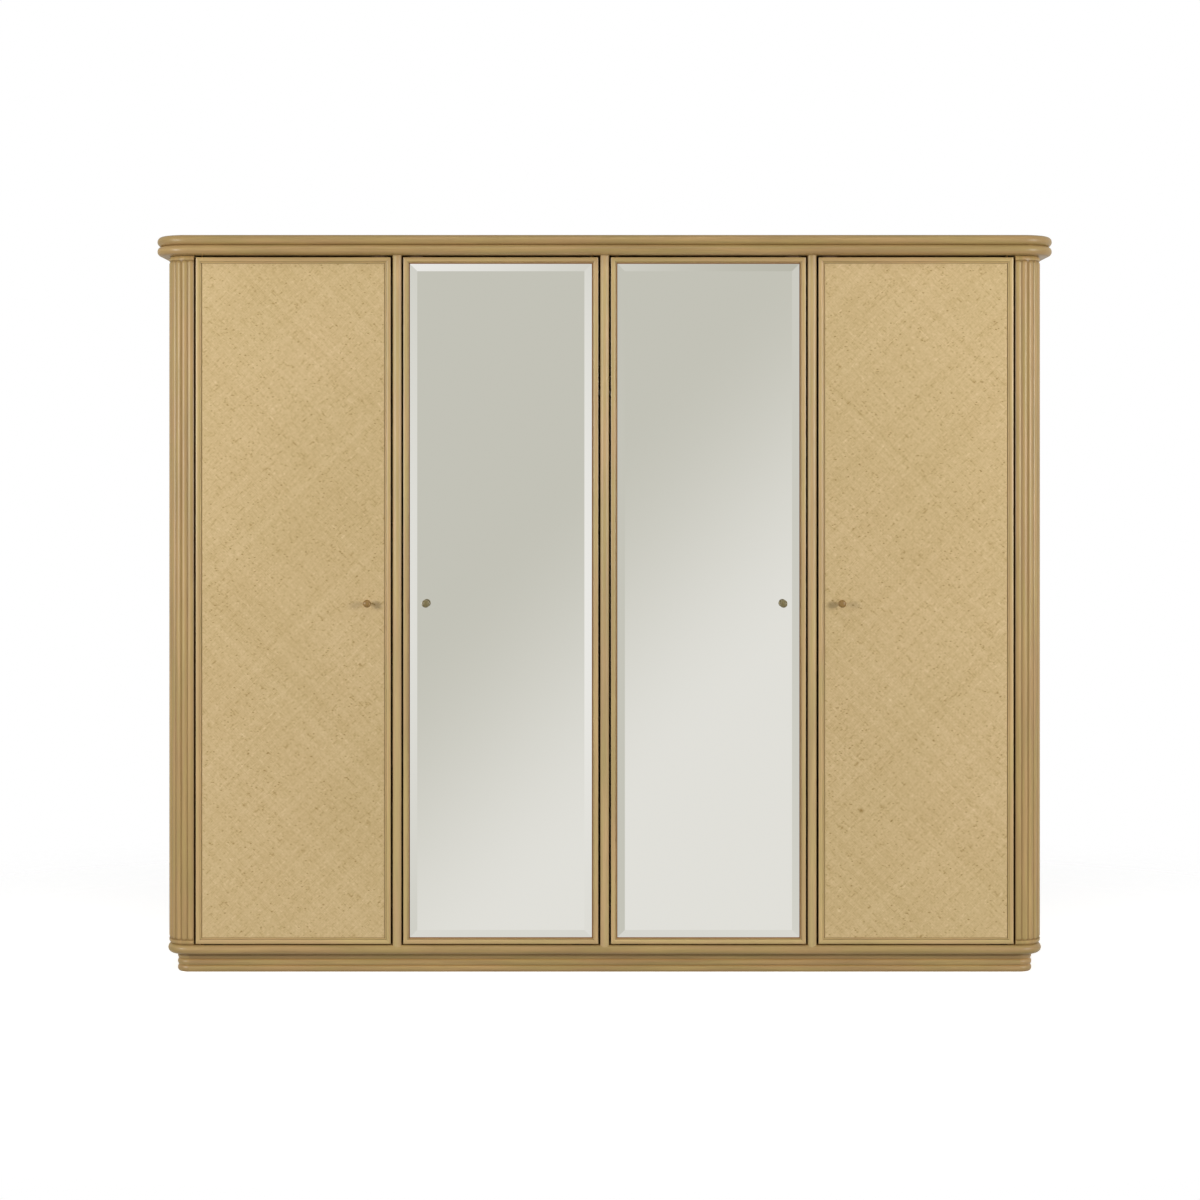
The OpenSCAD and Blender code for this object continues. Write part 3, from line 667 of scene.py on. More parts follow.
class ARMOIRE_OT_posts(bpy.types.Operator):
    """Build the two corner posts with their stopped reeds, plain bands and rounded shoulders"""

    bl_idname = "armoire.posts"
    bl_label = "Corner posts"

    steps_per_reed = 12

    def outline(self, shapes, reed_w):
        """Stations round the post: centre, outward direction, run, and place across the reed."""
        radius, steps = shapes.post_radius, self.steps_per_reed
        stations = [(-reed_w + reed_w * k / steps, 0.0, 0.0, -1.0) for k in range(steps)]
        total = steps * shapes.corner_reeds
        for k in range(total + 1):
            angle = -math.pi / 2 + math.pi / 2 * k / total
            stations.append((0.0, 0.0, math.cos(angle), math.sin(angle)))
        stations += [(0.0, reed_w * (k + 1) / steps, 1.0, 0.0) for k in range(steps)]
        arc = radius * math.pi / 2 / shapes.corner_reeds
        rows = []
        for k, (cx, cy, nx, ny) in enumerate(stations):
            reed, part = divmod(k, steps)
            width = reed_w if reed in (0, shapes.corner_reeds + 1) else arc
            rows.append((cx, cy, nx, ny, (part / steps - 0.5) * width, width / 2,
                         reed * arc + part / steps * arc))
        return rows

    def levels(self, shapes, low, high):
        """Heights for the rows: close together at the ends, where the reeds stop."""
        band, shoulder = shapes.post_band, shapes.post_shoulder
        step_in, tip_step = 0.4 * MM, 0.9 * MM
        end = [shoulder * (1 - math.cos(math.pi / 2 * k / 6)) for k in range(7)]
        end += [band - step_in, band]
        end += [band + tip_step * k for k in range(1, 13)]
        middle = np.linspace(low + end[-1], high - end[-1], 24)[1:-1]
        return [low + e for e in end] + list(middle) + [high - e for e in reversed(end)]

    def build(self, context, side, sign):
        shapes = context.scene.armoire_shapes
        low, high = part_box("post_" + side)
        radius = shapes.post_radius
        reed_w = (high.x - low.x) - radius
        outer_x = high.x if sign > 0 else -low.x
        centre = (outer_x - radius, low.y + radius)
        stations = self.outline(shapes, reed_w)
        levels = self.levels(shapes, low.z, high.z)
        shape = Shape()
        rows = []
        for z in levels:
            end = min(z - low.z, high.z - z)
            shoulder = shapes.post_shoulder
            inset = 0.0
            if end < shoulder:
                inset = shoulder - math.sqrt(max(0.0, shoulder ** 2 - (shoulder - end) ** 2))
            row = []
            for cx, cy, nx, ny, across, half_reed, _ in stations:
                depth = inset
                recess = 0.0
                if end >= shapes.post_band:
                    depth = reed_depth_at(across, end - shapes.post_band, half_reed, shapes.reed_depth)
                    # Painted shade grows with the depth between the reeds.
                    recess = (depth / shapes.reed_depth) ** 1.3
                reach = radius - depth
                x, y = centre[0] + cx + nx * reach, centre[1] + cy + ny * reach
                row.append(shape.point((sign * x, y, z), recess))
            # The post's inner edge lies in the gap and takes the painted gap shade.
            inner = (centre[0] - reed_w, centre[1] + reed_w)
            row.append(shape.point((sign * inner[0], inner[1], z), GAP_SHADE))
            rows.append(row)
        runs = [s[6] for s in stations] + [stations[-1][6] + 0.05, stations[-1][6] + 0.1]
        board = 40.0 + sign
        width = len(stations) + 1
        for lower, upper, z0, z1 in zip(rows, rows[1:], levels, levels[1:]):
            for k in range(width):
                n = (k + 1) % width
                a, b = runs[k], runs[k + 1]
                corners = ((lower[k], z0, a), (lower[n], z0, b), (upper[n], z1, b), (upper[k], z1, a))
                if sign < 0:
                    corners = corners[::-1]
                shape.face([c[0] for c in corners], [(c[1], c[2], board) for c in corners])
        for ring in (rows[0][::-1], rows[-1]):
            flat_face(shape, ring if sign > 0 else ring[::-1], board)
        piece = shape.make(f"post_{side}_reeded", pale_wood(context, "post"))
        settle(piece, ["post_" + side], "case")

    def execute(self, context):
        for side, sign in SIDES:
            self.build(context, side, sign)
        return {"FINISHED"}


class ARMOIRE_OT_mullions(bpy.types.Operator):
    """Build the three round-fronted mullions, with their feet coped over the base board's bead"""

    bl_idname = "armoire.mullions"
    bl_label = "Mullions"

    def execute(self, context):
        shapes = context.scene.armoire_shapes
        base_low, base_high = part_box("base_board")
        bead_r = arc_radius(base_high.z - base_low.z, shapes.bead_swell)
        bead_y = base_low.y + bead_r
        bead_z = (base_low.z + base_high.z) / 2
        steps, plan_step = 16, 1.8 * MM
        for number, place in enumerate(("left", "centre", "right")):
            low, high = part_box("mullion_" + place)
            middle, half = (low.x + high.x) / 2, (high.x - low.x) / 2
            radius = arc_radius(2 * half, shapes.mullion_swell)
            spread = math.asin(half / radius)
            plan = []
            for k in range(steps + 1):
                angle = spread * (2 * k / steps - 1)
                # Painted shade grows towards the sides of the round front; the flanks take the painted gap
                # shade.
                plan.append((middle + radius * math.sin(angle), low.y + radius * (1 - math.cos(angle)),
                             abs(2 * k / steps - 1) ** 4 * 0.5))
            flank_y = low.y + shapes.mullion_swell + 3 * MM
            plan += [(middle + half, flank_y, GAP_SHADE), (middle + half, high.y, GAP_SHADE),
                     (middle - half, high.y, GAP_SHADE), (middle - half, flank_y, GAP_SHADE)]
            shape = Shape()
            rings = []
            levels = [None, *np.linspace(base_high.z + 0.01, high.z, 14)]
            for z in levels:
                ring = []
                for x, y, recess in plan:
                    height = z
                    if z is None:
                        fall = max(0.0, bead_y - y)
                        coped = bead_z + math.sqrt(bead_r ** 2 - fall ** 2)
                        height = base_high.z if fall == 0 else min(coped, base_high.z)
                    ring.append(shape.point((x, y, height), recess))
                rings.append(ring)
            for lower, upper in zip(rings, rings[1:]):
                for k in range(len(plan)):
                    n = (k + 1) % len(plan)
                    corners = (lower[k], lower[n], upper[n], upper[k])
                    across = (k * plan_step, (k + 1) * plan_step)
                    shape.face(corners, [(shape.points[c][2], a, 50.0 + number * 1.9)
                                         for c, a in zip(corners, (*across, *across[::-1]))])
            flat_face(shape, rings[0][::-1], 50.0)
            flat_face(shape, rings[-1], 50.0)
            piece = shape.make(f"mullion_{place}_rounded", pale_wood(context, "mullion"))
            settle(piece, ["mullion_" + place], "case")
        return {"FINISHED"}


def edging_profile(width, thickness, lip, swell, channel=1.9 * MM, channel_shade=0.8):
    """Closed section of an edging, as (inwards, backwards, recess).

    A soft bead, a groove, a narrow round lip and a channel beside the panel. The recess paints shade into the
    bead's edges, the groove, the lip's feet and the channel, and the painted gap shade on the hidden faces.
    """
    bead_w, groove_depth, lip_height = width - lip, 3.2 * MM, 1.2 * MM
    lip_foot, channel_depth = 2.3 * MM, 5.0 * MM
    points = [(up, inset, 0.5 * recess)
              for inset, up, recess in reversed(bead_profile(bead_w - 0.9 * MM, swell, 10))]
    lip_r = (lip - channel) / 2
    centre = bead_w + lip_r
    points.append((bead_w - 0.3 * MM, groove_depth, 1.0))
    for k in range(7):
        angle = math.pi * (1 - k / 6)
        points.append((centre + lip_r * math.cos(angle), lip_foot - lip_height * math.sin(angle),
                       0.6 if k in (0, 6) else 0.0))
    points += [(width - channel, channel_depth, channel_shade),
               (width, channel_depth + 0.2 * MM, channel_shade), (width, thickness, 1.0),
               (0.0, thickness, GAP_SHADE), (0.0, channel_depth, GAP_SHADE)]
    return points


def mitred_edging(shape, section, length, height, place, board):
    """Four mitred bars round a rectangle. place maps (across, up, back) to the object's space."""
    hairline, dark_line = 0.05 * MM, 0.7 * MM
    starts = (((0, 0), (1, 0), (0, 1), length), ((length, 0), (0, 1), (-1, 0), height),
              ((length, height), (-1, 0), (0, -1), length), ((0, height), (0, -1), (1, 0), height))
    count = len(section)
    for number, (origin, run, inwards, size) in enumerate(starts):
        rings, runs = [], []
        for cut, far_end, shade in ((hairline, False, 0.75), (dark_line, False, 0.0),
                                    (dark_line, True, 0.0), (hairline, True, 0.75)):
            ring = []
            for w, back, recess in section:
                s = size - w - cut if far_end else w + cut
                across = origin[0] + run[0] * s + inwards[0] * w
                up = origin[1] + run[1] * s + inwards[1] * w
                ring.append(shape.point(place(across, up, back), max(recess, shade)))
            rings.append(ring)
            runs.append([size - w - cut if far_end else w + cut for w, _, _ in section])
        for near, far, near_run, far_run in zip(rings, rings[1:], runs, runs[1:]):
            for k in range(count):
                n = (k + 1) % count
                a, b = section[k][0] + section[k][1], section[n][0] + section[n][1]
                shape.face((near[k], near[n], far[n], far[k]),
                           [(near_run[k], a, board + number), (near_run[n], b, board + number),
                            (far_run[n], b, board + number), (far_run[k], a, board + number)])
        for ring in (rings[0][::-1], rings[-1]):
            shape.face(ring, [(0.0, section[k][0], board + number) for k in range(count)])


class ARMOIRE_OT_edgings(bpy.types.Operator):
    """Build the mitred solid edgings of the doors and of the case's sides"""

    bl_idname = "armoire.edgings"
    bl_label = "Edgings"

    def execute(self, context):
        shapes = context.scene.armoire_shapes
        material = pale_wood(context, "edging")
        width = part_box("outer_left_matting")[0].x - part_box("outer_left_edging")[0].x
        for number, door in enumerate(DOORS):
            low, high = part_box(door + "_edging")
            # Beside a mirror the channel is wider and takes the painted gap shade.
            beside = (3.0 * MM, GAP_SHADE) if mirrored(door) else ()
            section = edging_profile(width, high.y - low.y, shapes.lip_width, shapes.edging_swell, *beside)
            shape = Shape()
            mitred_edging(shape, section, high.x - low.x, high.z - low.z,
                          lambda a, u, b: (low.x + a, low.y + b, low.z + u), 60 + number * 5)
            piece = shape.make(door + "_door_edging", material)
            settle(piece, [door + "_edging"], door + "_door")
        for number, (side, sign) in enumerate(SIDES):
            low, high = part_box("side_edging_" + side)
            outer = high.x if sign > 0 else low.x
            section = edging_profile(width, high.x - low.x, shapes.lip_width, shapes.edging_swell)
            shape = Shape()

            def place(across, up, back):
                run = low.y + across if sign > 0 else high.y - across
                return (outer - sign * back, run, low.z + up)

            mitred_edging(shape, section, high.y - low.y, high.z - low.z, place, 90 + number * 5)
            settle(shape.make(f"side_{side}_edging", material), ["side_edging_" + side], "case")
        return {"FINISHED"}


class ARMOIRE_OT_mattings(bpy.types.Operator):
    """Weave the matting of the outer doors and of the case's sides, with its strands on the diagonal"""

    bl_idname = "armoire.mattings"
    bl_label = "Mattings"

    def weave(self, shapes, width, height, seed):
        """Relief, tone and weave place on a lattice whose diagonals follow the strands."""
        step = shapes.strand_width / (2 * math.sqrt(2))
        columns = 2 * round(width / step / 2)
        rows = 2 * round(height / step / 2)
        i, j = np.meshgrid(np.arange(columns + 1), np.arange(rows + 1), indexing="ij")
        kept = (i + j) % 2 == 0
        rising, falling = (i + j) / 2, (j - i) / 2
        draw = np.random.default_rng(seed)
        crown = np.cos(np.pi * rising) + np.cos(np.pi * falling)
        crown_relief, rough_relief, strand_relief = 0.16, 0.10, 0.06
        rough_tone, band_tone, strand_tone, band_size = 0.02, 0.0115, 0.012, 13
        spread = draw.normal(0, 1, i.shape)
        relief = crown_relief * crown + rough_relief * spread
        tone = rough_tone * spread
        for index, shift in ((rising, 0), (falling, columns)):
            strands = draw.normal(0, 1, 2 * (columns + rows))
            bands = np.convolve(strands, np.hanning(band_size) / 3.2, "same")
            place = (index + shift).astype(int)
            tone += band_tone * bands[place] + strand_tone * strands[place // 2]
            relief += strand_relief * strands[place // 2]
        # Short dashes along the strands: the dark ones sink and carry painted shadow, the light ones rise and
        # are lighter. A few deep pits sink and carry painted shade.
        dash_share, longest, dark_share, pit_share = 0.019, 5, 0.72, 0.011
        count = int(i.size * dash_share)
        start_i, start_j = draw.integers(0, columns, count), draw.integers(0, rows, count)
        slope = draw.choice((-1, 1), count)
        length = draw.integers(1, longest + 1, count)
        depth = np.where(draw.random(count) < dark_share, -draw.uniform(0.05, 0.23, count),
                         draw.uniform(0.04, 0.15, count))
        for k in range(longest):
            on = (k < length) & (start_i + k <= columns) & (start_j + k * slope >= 0)
            on &= start_j + k * slope <= rows
            where = (start_i[on] + k, start_j[on] + k * slope[on])
            np.add.at(tone, where, depth[on])
            np.add.at(relief, where, 3.0 * depth[on])
        pit = (draw.random(i.shape) < pit_share) * draw.uniform(0.15, 0.6, i.shape)
        relief = np.clip(relief - pit, -0.6, 0.45) * shapes.strand_relief
        return i, j, kept, rising / 2, falling / 2, relief, np.clip(tone - pit, -0.6, 0.2), columns, rows

    def sheet(self, context, name, width, height, thickness, place, seed, turn, fleck=None):
        """A woven sheet with a flat back. A fleck is a dark spot: place across, place up and size."""
        shapes = context.scene.armoire_shapes
        i, j, kept, rising, falling, relief, tone, columns, rows = self.weave(shapes, width, height, seed)
        tucked_in = 0.3 * shapes.strand_relief
        edge = (i == 0) | (j == 0) | (i == columns) | (j == rows)
        relief = np.where(edge, relief - tucked_in, relief)
        number = np.full(i.shape, -1)
        number[kept] = np.arange(kept.sum())
        across, up = i[kept] * width / columns, j[kept] * height / rows
        points = place(across, up, relief[kept])
        if fleck:
            near = np.hypot(across - fleck[0], up - fleck[1])
            tone[kept] -= 0.55 * np.exp(-(near / fleck[2]) ** 2)
        odd_i, odd_j = i[~kept], j[~kept]
        neighbours = []
        for di, dj in ((-1, 0), (0, -1), (1, 0), (0, 1)):
            ni, nj = odd_i + di, odd_j + dj
            inside = (ni >= 0) & (ni <= columns) & (nj >= 0) & (nj <= rows)
            found = np.full(ni.shape, -1)
            found[inside] = number[ni[inside], nj[inside]]
            neighbours.append(found)
        faces = [tuple(k for k in quad if k >= 0) for quad in zip(*(n.tolist() for n in neighbours))]
        border = [number[k, 0] for k in range(0, columns + 1, 2)]
        border += [number[columns, k] for k in range(2, rows + 1, 2)]
        border += [number[k, rows] for k in range(columns - 2, -1, -2)]
        border += [number[0, k] for k in range(rows - 2, 0, -2)]
        border = [int(k) for k in border]
        first_back = len(points)
        backs = place(across[border], up[border], np.full(len(border), -thickness))
        points = np.vstack([points, backs])
        size = len(border)
        for k in range(size):
            n = (k + 1) % size
            faces.append((border[n], border[k], first_back + k, first_back + n))
        faces.append(tuple(first_back + k for k in reversed(range(size))))
        if turn:
            faces = [f[::-1] for f in faces]
        mesh = bpy.data.meshes.new(name)
        mesh.from_pydata(points.tolist(), [], faces)
        zeros = np.zeros(size)
        weave = mesh.attributes.new("weave", "FLOAT_VECTOR", "POINT")
        place_on = np.column_stack([np.concatenate([rising[kept], zeros]),
                                    np.concatenate([falling[kept], zeros]),
                                    np.full(first_back + size, seed * 1.7)])
        weave.data.foreach_set("vector", place_on.astype(np.float32).ravel())
        shade = mesh.attributes.new("tone", "FLOAT", "POINT")
        shade.data.foreach_set("value", np.concatenate([tone[kept], zeros]).astype(np.float32))
        finish = context.scene.armoire_finishes
        material = once("woven_matting", matting_finish, tuple(finish.matting))
        return finish_mesh(mesh, name, material, 70.0)

    def execute(self, context):
        relief_room = 0.35 * MM
        for seed, door in enumerate(("outer_left", "outer_right")):
            low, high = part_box(door + "_matting")
            thickness = high.y - low.y - relief_room

            def place(across, up, out):
                return np.column_stack([low.x + across, low.y + relief_room - out, low.z + up])

            fleck = (105 * MM, 367 * MM, 6 * MM) if door == "outer_right" else None
            piece = self.sheet(context, door + "_woven_matting", high.x - low.x, high.z - low.z,
                               thickness, place, 11 + seed, False, fleck)
            settle(piece, [door + "_matting"], door + "_door")
        for seed, (side, sign) in enumerate(SIDES):
            low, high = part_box("side_matting_" + side)
            thickness = high.x - low.x - relief_room
            face = high.x - relief_room if sign > 0 else low.x + relief_room

            def place_side(across, up, out):
                return np.column_stack([face + sign * out, low.y + across, low.z + up])

            piece = self.sheet(context, f"side_{side}_woven_matting", high.y - low.y, high.z - low.z,
                               thickness, place_side, 21 + seed, sign < 0)
            settle(piece, ["side_matting_" + side], "case")
        return {"FINISHED"}


class ARMOIRE_OT_mirrors(bpy.types.Operator):
    """Build the two bevelled mirrors"""

    bl_idname = "armoire.mirrors"
    bl_label = "Mirrors"

    def execute(self, context):
        shapes = context.scene.armoire_shapes
        finish = context.scene.armoire_finishes
        material = once("silvered_glass", mirror_finish, tuple(finish.silver))
        arris = 0.4 * MM
        for door in filter(mirrored, DOORS):
            low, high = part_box(door + "_mirror")
            rings = ((shapes.bevel_width, 0.0), (arris, shapes.bevel_depth - 0.1 * MM),
                     (0.0, shapes.bevel_depth + arris), (0.0, high.y - low.y))
            points = []
            for inset, back in rings:
                for sx, sz in ((0, 0), (1, 0), (1, 1), (0, 1)):
                    x = high.x - inset if sx else low.x + inset
                    z = high.z - inset if sz else low.z + inset
                    points.append((x, low.y + back, z))
            faces = [(0, 1, 2, 3)]
            for ring in range(len(rings) - 1):
                for k in range(4):
                    n = (k + 1) % 4
                    faces.append((4 * ring + n, 4 * ring + k, 4 * ring + 4 + k, 4 * ring + 4 + n))
            last = 4 * (len(rings) - 1)
            faces.append((last + 3, last + 2, last + 1, last))
            mesh = bpy.data.meshes.new(door + "_bevelled_mirror")
            mesh.from_pydata(points, [], faces)
            piece = finish_mesh(mesh, door + "_bevelled_mirror", material, 2.0)
            settle(piece, [door + "_mirror"], door + "_door")
        return {"FINISHED"}


# A knob's outline from its foot to its crown, as shares of its length and of its radius.
KNOB_OUTLINE = (
    (0.0, 0.70), (0.045, 0.72), (0.085, 0.66), (0.11, 0.52), (0.16, 0.44), (0.30, 0.42), (0.42, 0.46),
    (0.52, 0.62), (0.60, 0.84), (0.66, 0.95), (0.73, 1.0), (0.80, 0.985), (0.86, 0.91), (0.905, 0.80),
    (0.945, 0.74), (0.958, 0.66), (0.985, 0.45), (0.997, 0.22), (1.0, 0.0))


class ARMOIRE_OT_knobs(bpy.types.Operator):
    """Turn the four door knobs"""

    bl_idname = "armoire.knobs"
    bl_label = "Knobs"

    def execute(self, context):
        finish = context.scene.armoire_finishes
        steps, matting_dip = 40, 0.6 * MM
        colour = tuple(finish.knob)
        for door in DOORS:
            low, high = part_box(door + "_knob")
            if mirrored(door):
                foot_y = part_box(door + "_mirror")[0].y
                # Painted reflection: these knobs are the same wood as the others, tinted grey-green for the
                # mirror round them.
                material = once("knob_wood_olive", turned_wood, scaled(colour, (0.68, 0.95, 1.5)))
            else:
                foot_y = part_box(door + "_matting")[0].y + matting_dip
                material = once("knob_wood", turned_wood, colour)
            cx, cz, radius = (low.x + high.x) / 2, (low.z + high.z) / 2, (high.x - low.x) / 2
            profile = [(out * (foot_y - low.y), r * radius) for out, r in KNOB_OUTLINE]
            points, faces = [(cx, foot_y, cz)], []
            for out, r in profile[:-1]:
                for k in range(steps):
                    angle = 2 * math.pi * k / steps
                    points.append((cx + r * math.cos(angle), foot_y - out, cz + r * math.sin(angle)))
            points.append((cx, low.y, cz))
            top = len(points) - 1
            rings = len(profile) - 1
            for k in range(steps):
                n = (k + 1) % steps
                faces.append((0, 1 + k, 1 + n))
                for ring in range(rings - 1):
                    base = 1 + ring * steps
                    faces.append((base + k, base + steps + k, base + steps + n, base + n))
                last = 1 + (rings - 1) * steps
                faces.append((last + k, top, last + n))
            mesh = bpy.data.meshes.new(door + "_turned_knob")
            mesh.from_pydata(points, [], faces)
            piece = finish_mesh(mesh, door + "_turned_knob", material, 50.0)
            smooth = piece.modifiers.new("Smooth turning", "SUBSURF")
            smooth.levels = smooth.render_levels = 1
            settle(piece, [door + "_knob"], door + "_door")
        return {"FINISHED"}


class ARMOIRE_OT_boards(bpy.types.Operator):
    """Finish the boards that stay as the frame has them"""

    bl_idname = "armoire.boards"
    bl_label = "Boards"

    def execute(self, context):
        finish = context.scene.armoire_finishes
        colour, inside, shade = tuple(finish.wood), tuple(finish.inside), tuple(finish.wood_shade)
        matt = (0.62, 0.7, None, None, 0.2)
        upright = once("inside_upright", wood, inside, shade, "Z", *matt)
        level = once("inside_level", wood, inside, shade, "X", *matt)
        deep = once("inside_deep", wood, scaled(inside, 0.85), shade, "Y", *matt)
        core = once("core_upright", wood, scaled(colour, 0.92), shade, "Z", *matt)
        outside = once("outside_upright", wood, colour, shade, "Z")
        rail = once("outside_level", wood, scaled(colour, 0.9), shade, "X")
        partitions = [f"partition_{p}" for p in ("left", "centre", "right")]
        # Painted gap shade on the partitions' front edges, which show only through the gaps.
        front = (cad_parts[partitions[0]].matrix_world.inverted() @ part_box(partitions[0])[0]).y
        gap = tuple(finish.wood_gap)
        dress(partitions, once("partition_upright", wood, inside, shade, "Z", 0.62, 0.7, gap,
                               front + 0.5 * MM, 0.1))
        dress(["back_panel_left", "back_panel_right"], upright)
        dress(["shelves_left", "shelves_right", "hat_shelves"], level)
        dress(["shelf_cleats"], deep)
        dress([door + "_core" for door in DOORS], core)
        dress(["side_panel_left", "side_panel_right"], core)
        dress(["rear_stile_left", "rear_stile_right"], outside)
        dress(["plinth_back"], rail)
        return {"FINISHED"}


class ARMOIRE_OT_hardware(bpy.types.Operator):
    """Finish the hinges, rails, strike plates and catches"""

    bl_idname = "armoire.hardware"
    bl_label = "Hardware"

    def execute(self, context):
        finish = context.scene.armoire_finishes
        bronze = once("hinge_bronze", metal, tuple(finish.bronze), 0.42, (60.0, 1200.0, 1200.0))
        steel = once("satin_steel", metal, tuple(finish.steel), 0.28, (40.0, 1500.0, 1500.0))
        housing = once("catch_housing", moulded_plastic, tuple(finish.catch))
        dress(["frame_hinge_leaves", "hinge_washers", "hinge_pins", *(d + "_hinge_leaves" for d in DOORS)],
              bronze)
        dress(["hanging_rails", "rail_sockets", *(d + "_strike" for d in DOORS)], steel)
        dress(["catches"], housing)
        return {"FINISHED"}


# ---------- the studio ----------

def studio_floor():
    """A pale seamless floor that fades into the white beyond. The mirrors don't show it."""
    half = 8.0
    mesh = bpy.data.meshes.new("studio_floor")
    corners = [(sx * half, sy * half, 0.0) for sx, sy in ((-1, -1), (1, -1), (1, 1), (-1, 1))]
    mesh.from_pydata(corners, [], [(0, 1, 2, 3)])
    tree = Tree(bpy.data.materials.new("studio_floor"))
    far = tree.add("ShaderNodeVectorMath", operation="LENGTH")
    tree.feed(far.inputs[0], tree.stretch(tree.place(), (0.5, 0.8, 0.0)))
    fade = tree.between(far.outputs["Value"], 0.75, 1.9, 1.0, 0.0, "SMOOTHSTEP")
    tree.set(Base_Color=(0.93, 0.93, 0.925, 1.0), Roughness=0.9, Specular_IOR_Level=0.1)
    tree.set(Emission_Color=(1.0, 1.0, 1.0, 1.0), Emission_Strength=0.65, Alpha=fade)
    mesh.materials.append(tree.owner)
    floor = bpy.data.objects.new("studio_floor", mesh)
    bpy.context.scene.collection.objects.link(floor)
    floor.visible_glossy = floor.visible_diffuse = False


# How the room looks in the mirrors: grey above and to the left, brighter below and to the right.
ROOM_GREY = 0.682
ROOM_BRIGHT = 0.941
ROOM_SLANT = (-0.02, 0.16)
# Share and power for red, green and blue: the dim parts are a little yellow.
ROOM_TINT = ((1.0, 1.0), (0.99, 1.0), (0.9745, 1.2))
# Bright and dim patches of the room: sideways and upward slope, half width, half height, brightness.
# They fall on the mirrors' bevels, which tilt away from the doors' faces.
ROOM_LOBES = ((-0.36, -0.05, 0.17, 0.30, 0.29), (0.225, -0.05, 0.08, 0.24, 0.22),
              (0.225, 0.0, 0.09, 0.9, -0.09), (0.40, 0.0, 0.24, 0.6, -0.27),
              (-0.16, 0.36, 0.24, 0.2, 0.47), (0.14, 0.36, 0.14, 0.2, -0.12), (0.0, -0.50, 0.3, 0.15, -0.14))


def studio_world(ambient):
    """White beyond the floor, and a soft bright-to-grey room for all that it lights or that shows it."""
    world = bpy.data.worlds.new("studio_room")
    bpy.context.scene.world = world
    tree = Tree(world)
    tree.nodes.clear()
    maths = tree.maths
    x, y, z = tree.split(tree.place("Generated"))
    forward = maths("MAXIMUM", maths("ABSOLUTE", y), 0.2)
    side, up = maths("DIVIDE", x, forward), maths("DIVIDE", z, forward)
    room = tree.between(maths("SUBTRACT", side, up), *ROOM_SLANT, ROOM_GREY, ROOM_BRIGHT, "SMOOTHSTEP")
    for centre_side, centre_up, half_side, half_up, gain in ROOM_LOBES:
        dx = maths("DIVIDE", maths("SUBTRACT", side, centre_side), half_side)
        dz = maths("DIVIDE", maths("SUBTRACT", up, centre_up), half_up)
        far = maths("SQRT", maths("ADD", maths("MULTIPLY", dx, dx), maths("MULTIPLY", dz, dz)))
        room = maths("ADD", room, tree.between(far, 0.0, 1.0, gain, 0.0, "SMOOTHSTEP"))
    tint = tree.join([maths("MULTIPLY", maths("POWER", room, power), share) for share, power in ROOM_TINT],
                     "ShaderNodeCombineColor")
    path = tree.add("ShaderNodeLightPath")

    def background(colour, strength):
        node = tree.add("ShaderNodeBackground")
        tree.feed(node.inputs["Color"], colour)
        tree.feed(node.inputs["Strength"], strength)
        return node.outputs[0]

    def chosen(ray, others, taken):
        node = tree.add("ShaderNodeMixShader")
        for socket, value in zip(node.inputs, (path.outputs[ray], others, taken)):
            tree.links.new(value, socket)
        return node.outputs[0]

    white = (1.0, 1.0, 1.0, 1.0)
    lit = chosen("Is Glossy Ray", background(white, ambient), background(tint, 1.0))
    seen = chosen("Is Camera Ray", lit, background(white, 1.0))
    tree.links.new(seen, tree.add("ShaderNodeOutputWorld").inputs["Surface"])


def area_light(name, place, target, size, power):
    """A rectangular light that faces its target."""
    data = bpy.data.lights.new(name, "AREA")
    data.shape = "RECTANGLE"
    data.size, data.size_y = size
    data.energy = power
    light = bpy.data.objects.new(name, data)
    light.location = place
    light.rotation_euler = (Vector(target) - Vector(place)).to_track_quat("-Z", "Y").to_euler()
    bpy.context.scene.collection.objects.link(light)
    return light


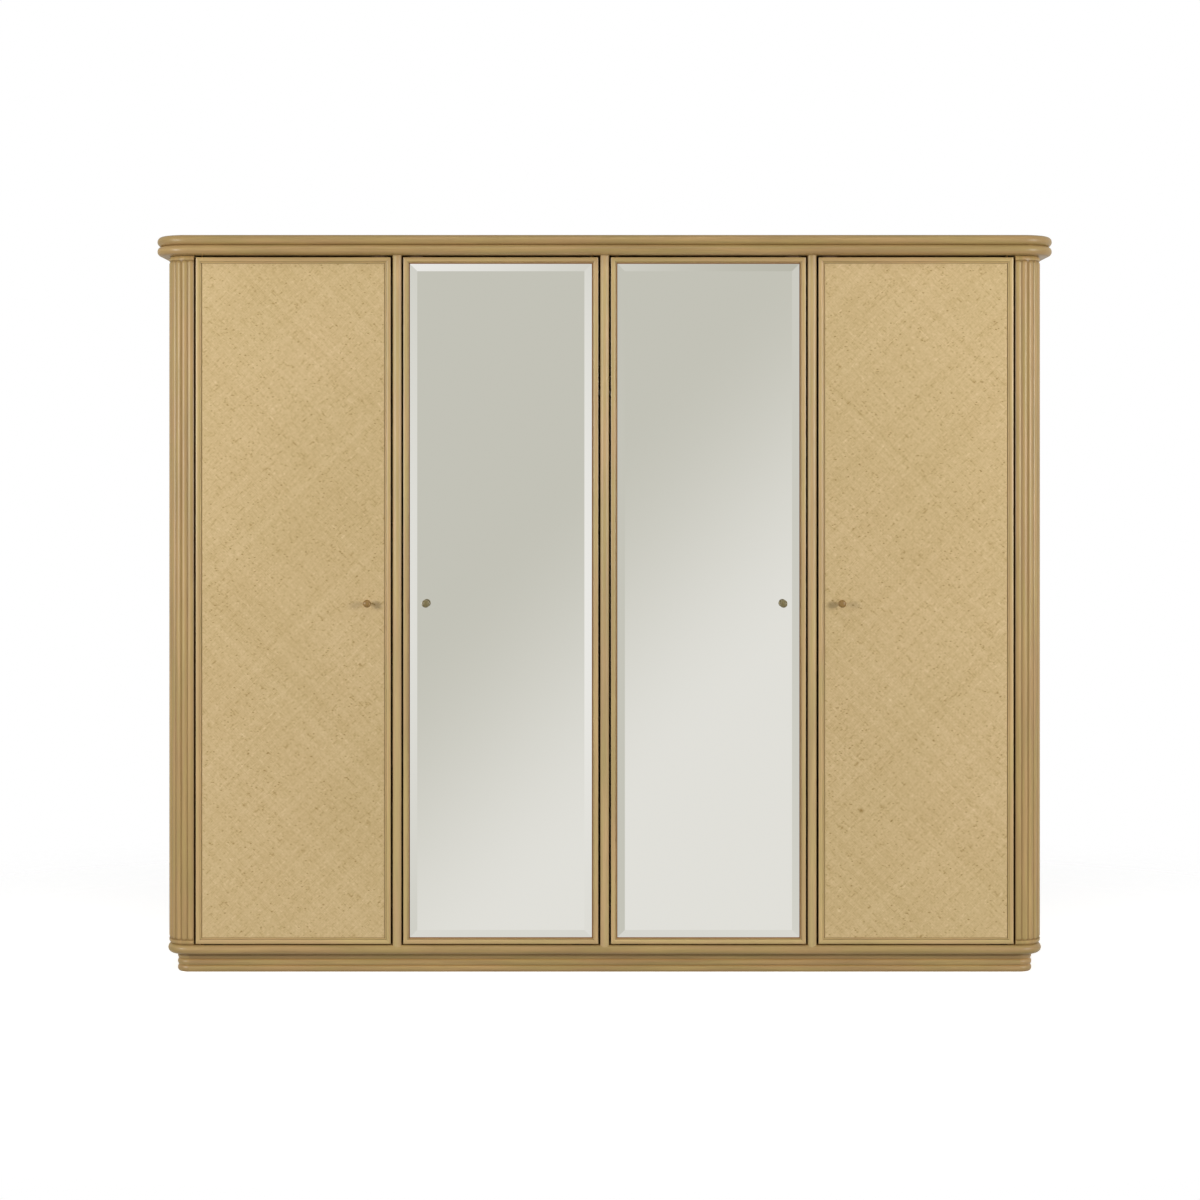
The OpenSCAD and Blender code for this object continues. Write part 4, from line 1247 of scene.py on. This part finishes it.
class ARMOIRE_OT_studio(bpy.types.Operator):
    """Set up the floor, the room, the lights and the camera"""

    bl_idname = "armoire.studio"
    bl_label = "Studio"

    def execute(self, context):
        studio = context.scene.armoire_studio
        context.scene.view_settings.view_transform = "Standard"
        face_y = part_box("outer_left_edging")[0].y
        studio_floor()
        studio_world(studio.ambient)
        side_x, side_y, side_z, aim_x, aim_z = 3.8, face_y - 2.9, 1.75, 0.7, 1.2
        for name, sign in SIDES:
            area_light(f"{name}_soft_box", (sign * side_x, side_y, side_z), (sign * aim_x, 0.0, aim_z),
                       (1.1, 1.5), studio.side_power)
        area_light("overhead_soft_box", (0.0, face_y - 2.2, 4.2), (0.0, 0.0, aim_z), (3.2, 1.4),
                   studio.top_power)
        low = area_light("low_soft_box", (0.0, face_y - 0.6, 0.06), (0.0, face_y, 0.04), (3.0, 0.1),
                         studio.low_power)
        low.visible_camera = low.visible_glossy = False
        data = bpy.data.cameras.new("camera")
        data.lens = studio.lens
        data.shift_x, data.shift_y = -0.00385, -0.101
        data.clip_end = 200.0
        camera = bpy.data.objects.new("camera", data)
        camera.location = (0.0, face_y - studio.camera_distance, studio.camera_height)
        camera.rotation_euler = (math.pi / 2, 0.0, 0.0)
        context.scene.collection.objects.link(camera)
        context.scene.camera = camera
        return {"FINISHED"}


# ---------- the add-on ----------

OPERATORS = (ARMOIRE_OT_studio, ARMOIRE_OT_cornice_and_base, ARMOIRE_OT_plinth, ARMOIRE_OT_posts,
             ARMOIRE_OT_mullions, ARMOIRE_OT_edgings, ARMOIRE_OT_mattings, ARMOIRE_OT_mirrors,
             ARMOIRE_OT_knobs, ARMOIRE_OT_boards, ARMOIRE_OT_hardware)


class ARMOIRE_PT_panel(bpy.types.Panel):
    """Sizes, finishes and the steps that build the armoire"""

    bl_idname = "ARMOIRE_PT_panel"
    bl_label = "Armoire"
    bl_space_type = "VIEW_3D"
    bl_region_type = "UI"
    bl_category = "Armoire"

    def draw(self, context):
        for title, group in GROUPS:
            box = self.layout.box()
            box.label(text=title.replace("armoire_", "").capitalize())
            settings = getattr(context.scene, title)
            for key in group.__annotations__:
                box.prop(settings, key)
        for operator in OPERATORS:
            self.layout.operator(operator.bl_idname)


GROUPS = (("armoire_shapes", ArmoireShapes), ("armoire_finishes", ArmoireFinishes),
          ("armoire_studio", ArmoireStudio))
CLASSES = (ArmoireShapes, ArmoireFinishes, ArmoireStudio, *OPERATORS, ARMOIRE_PT_panel)


def register():
    for cls in CLASSES:
        bpy.utils.register_class(cls)
    for title, group in GROUPS:
        setattr(bpy.types.Scene, title, bpy.props.PointerProperty(type=group))


def unregister():
    for title, _ in GROUPS:
        delattr(bpy.types.Scene, title)
    for cls in reversed(CLASSES):
        bpy.utils.unregister_class(cls)


def main():
    register()
    for operator in OPERATORS:
        group, step = operator.bl_idname.split(".")
        getattr(getattr(bpy.ops, group), step)()


if __name__ == "__main__":
    main()
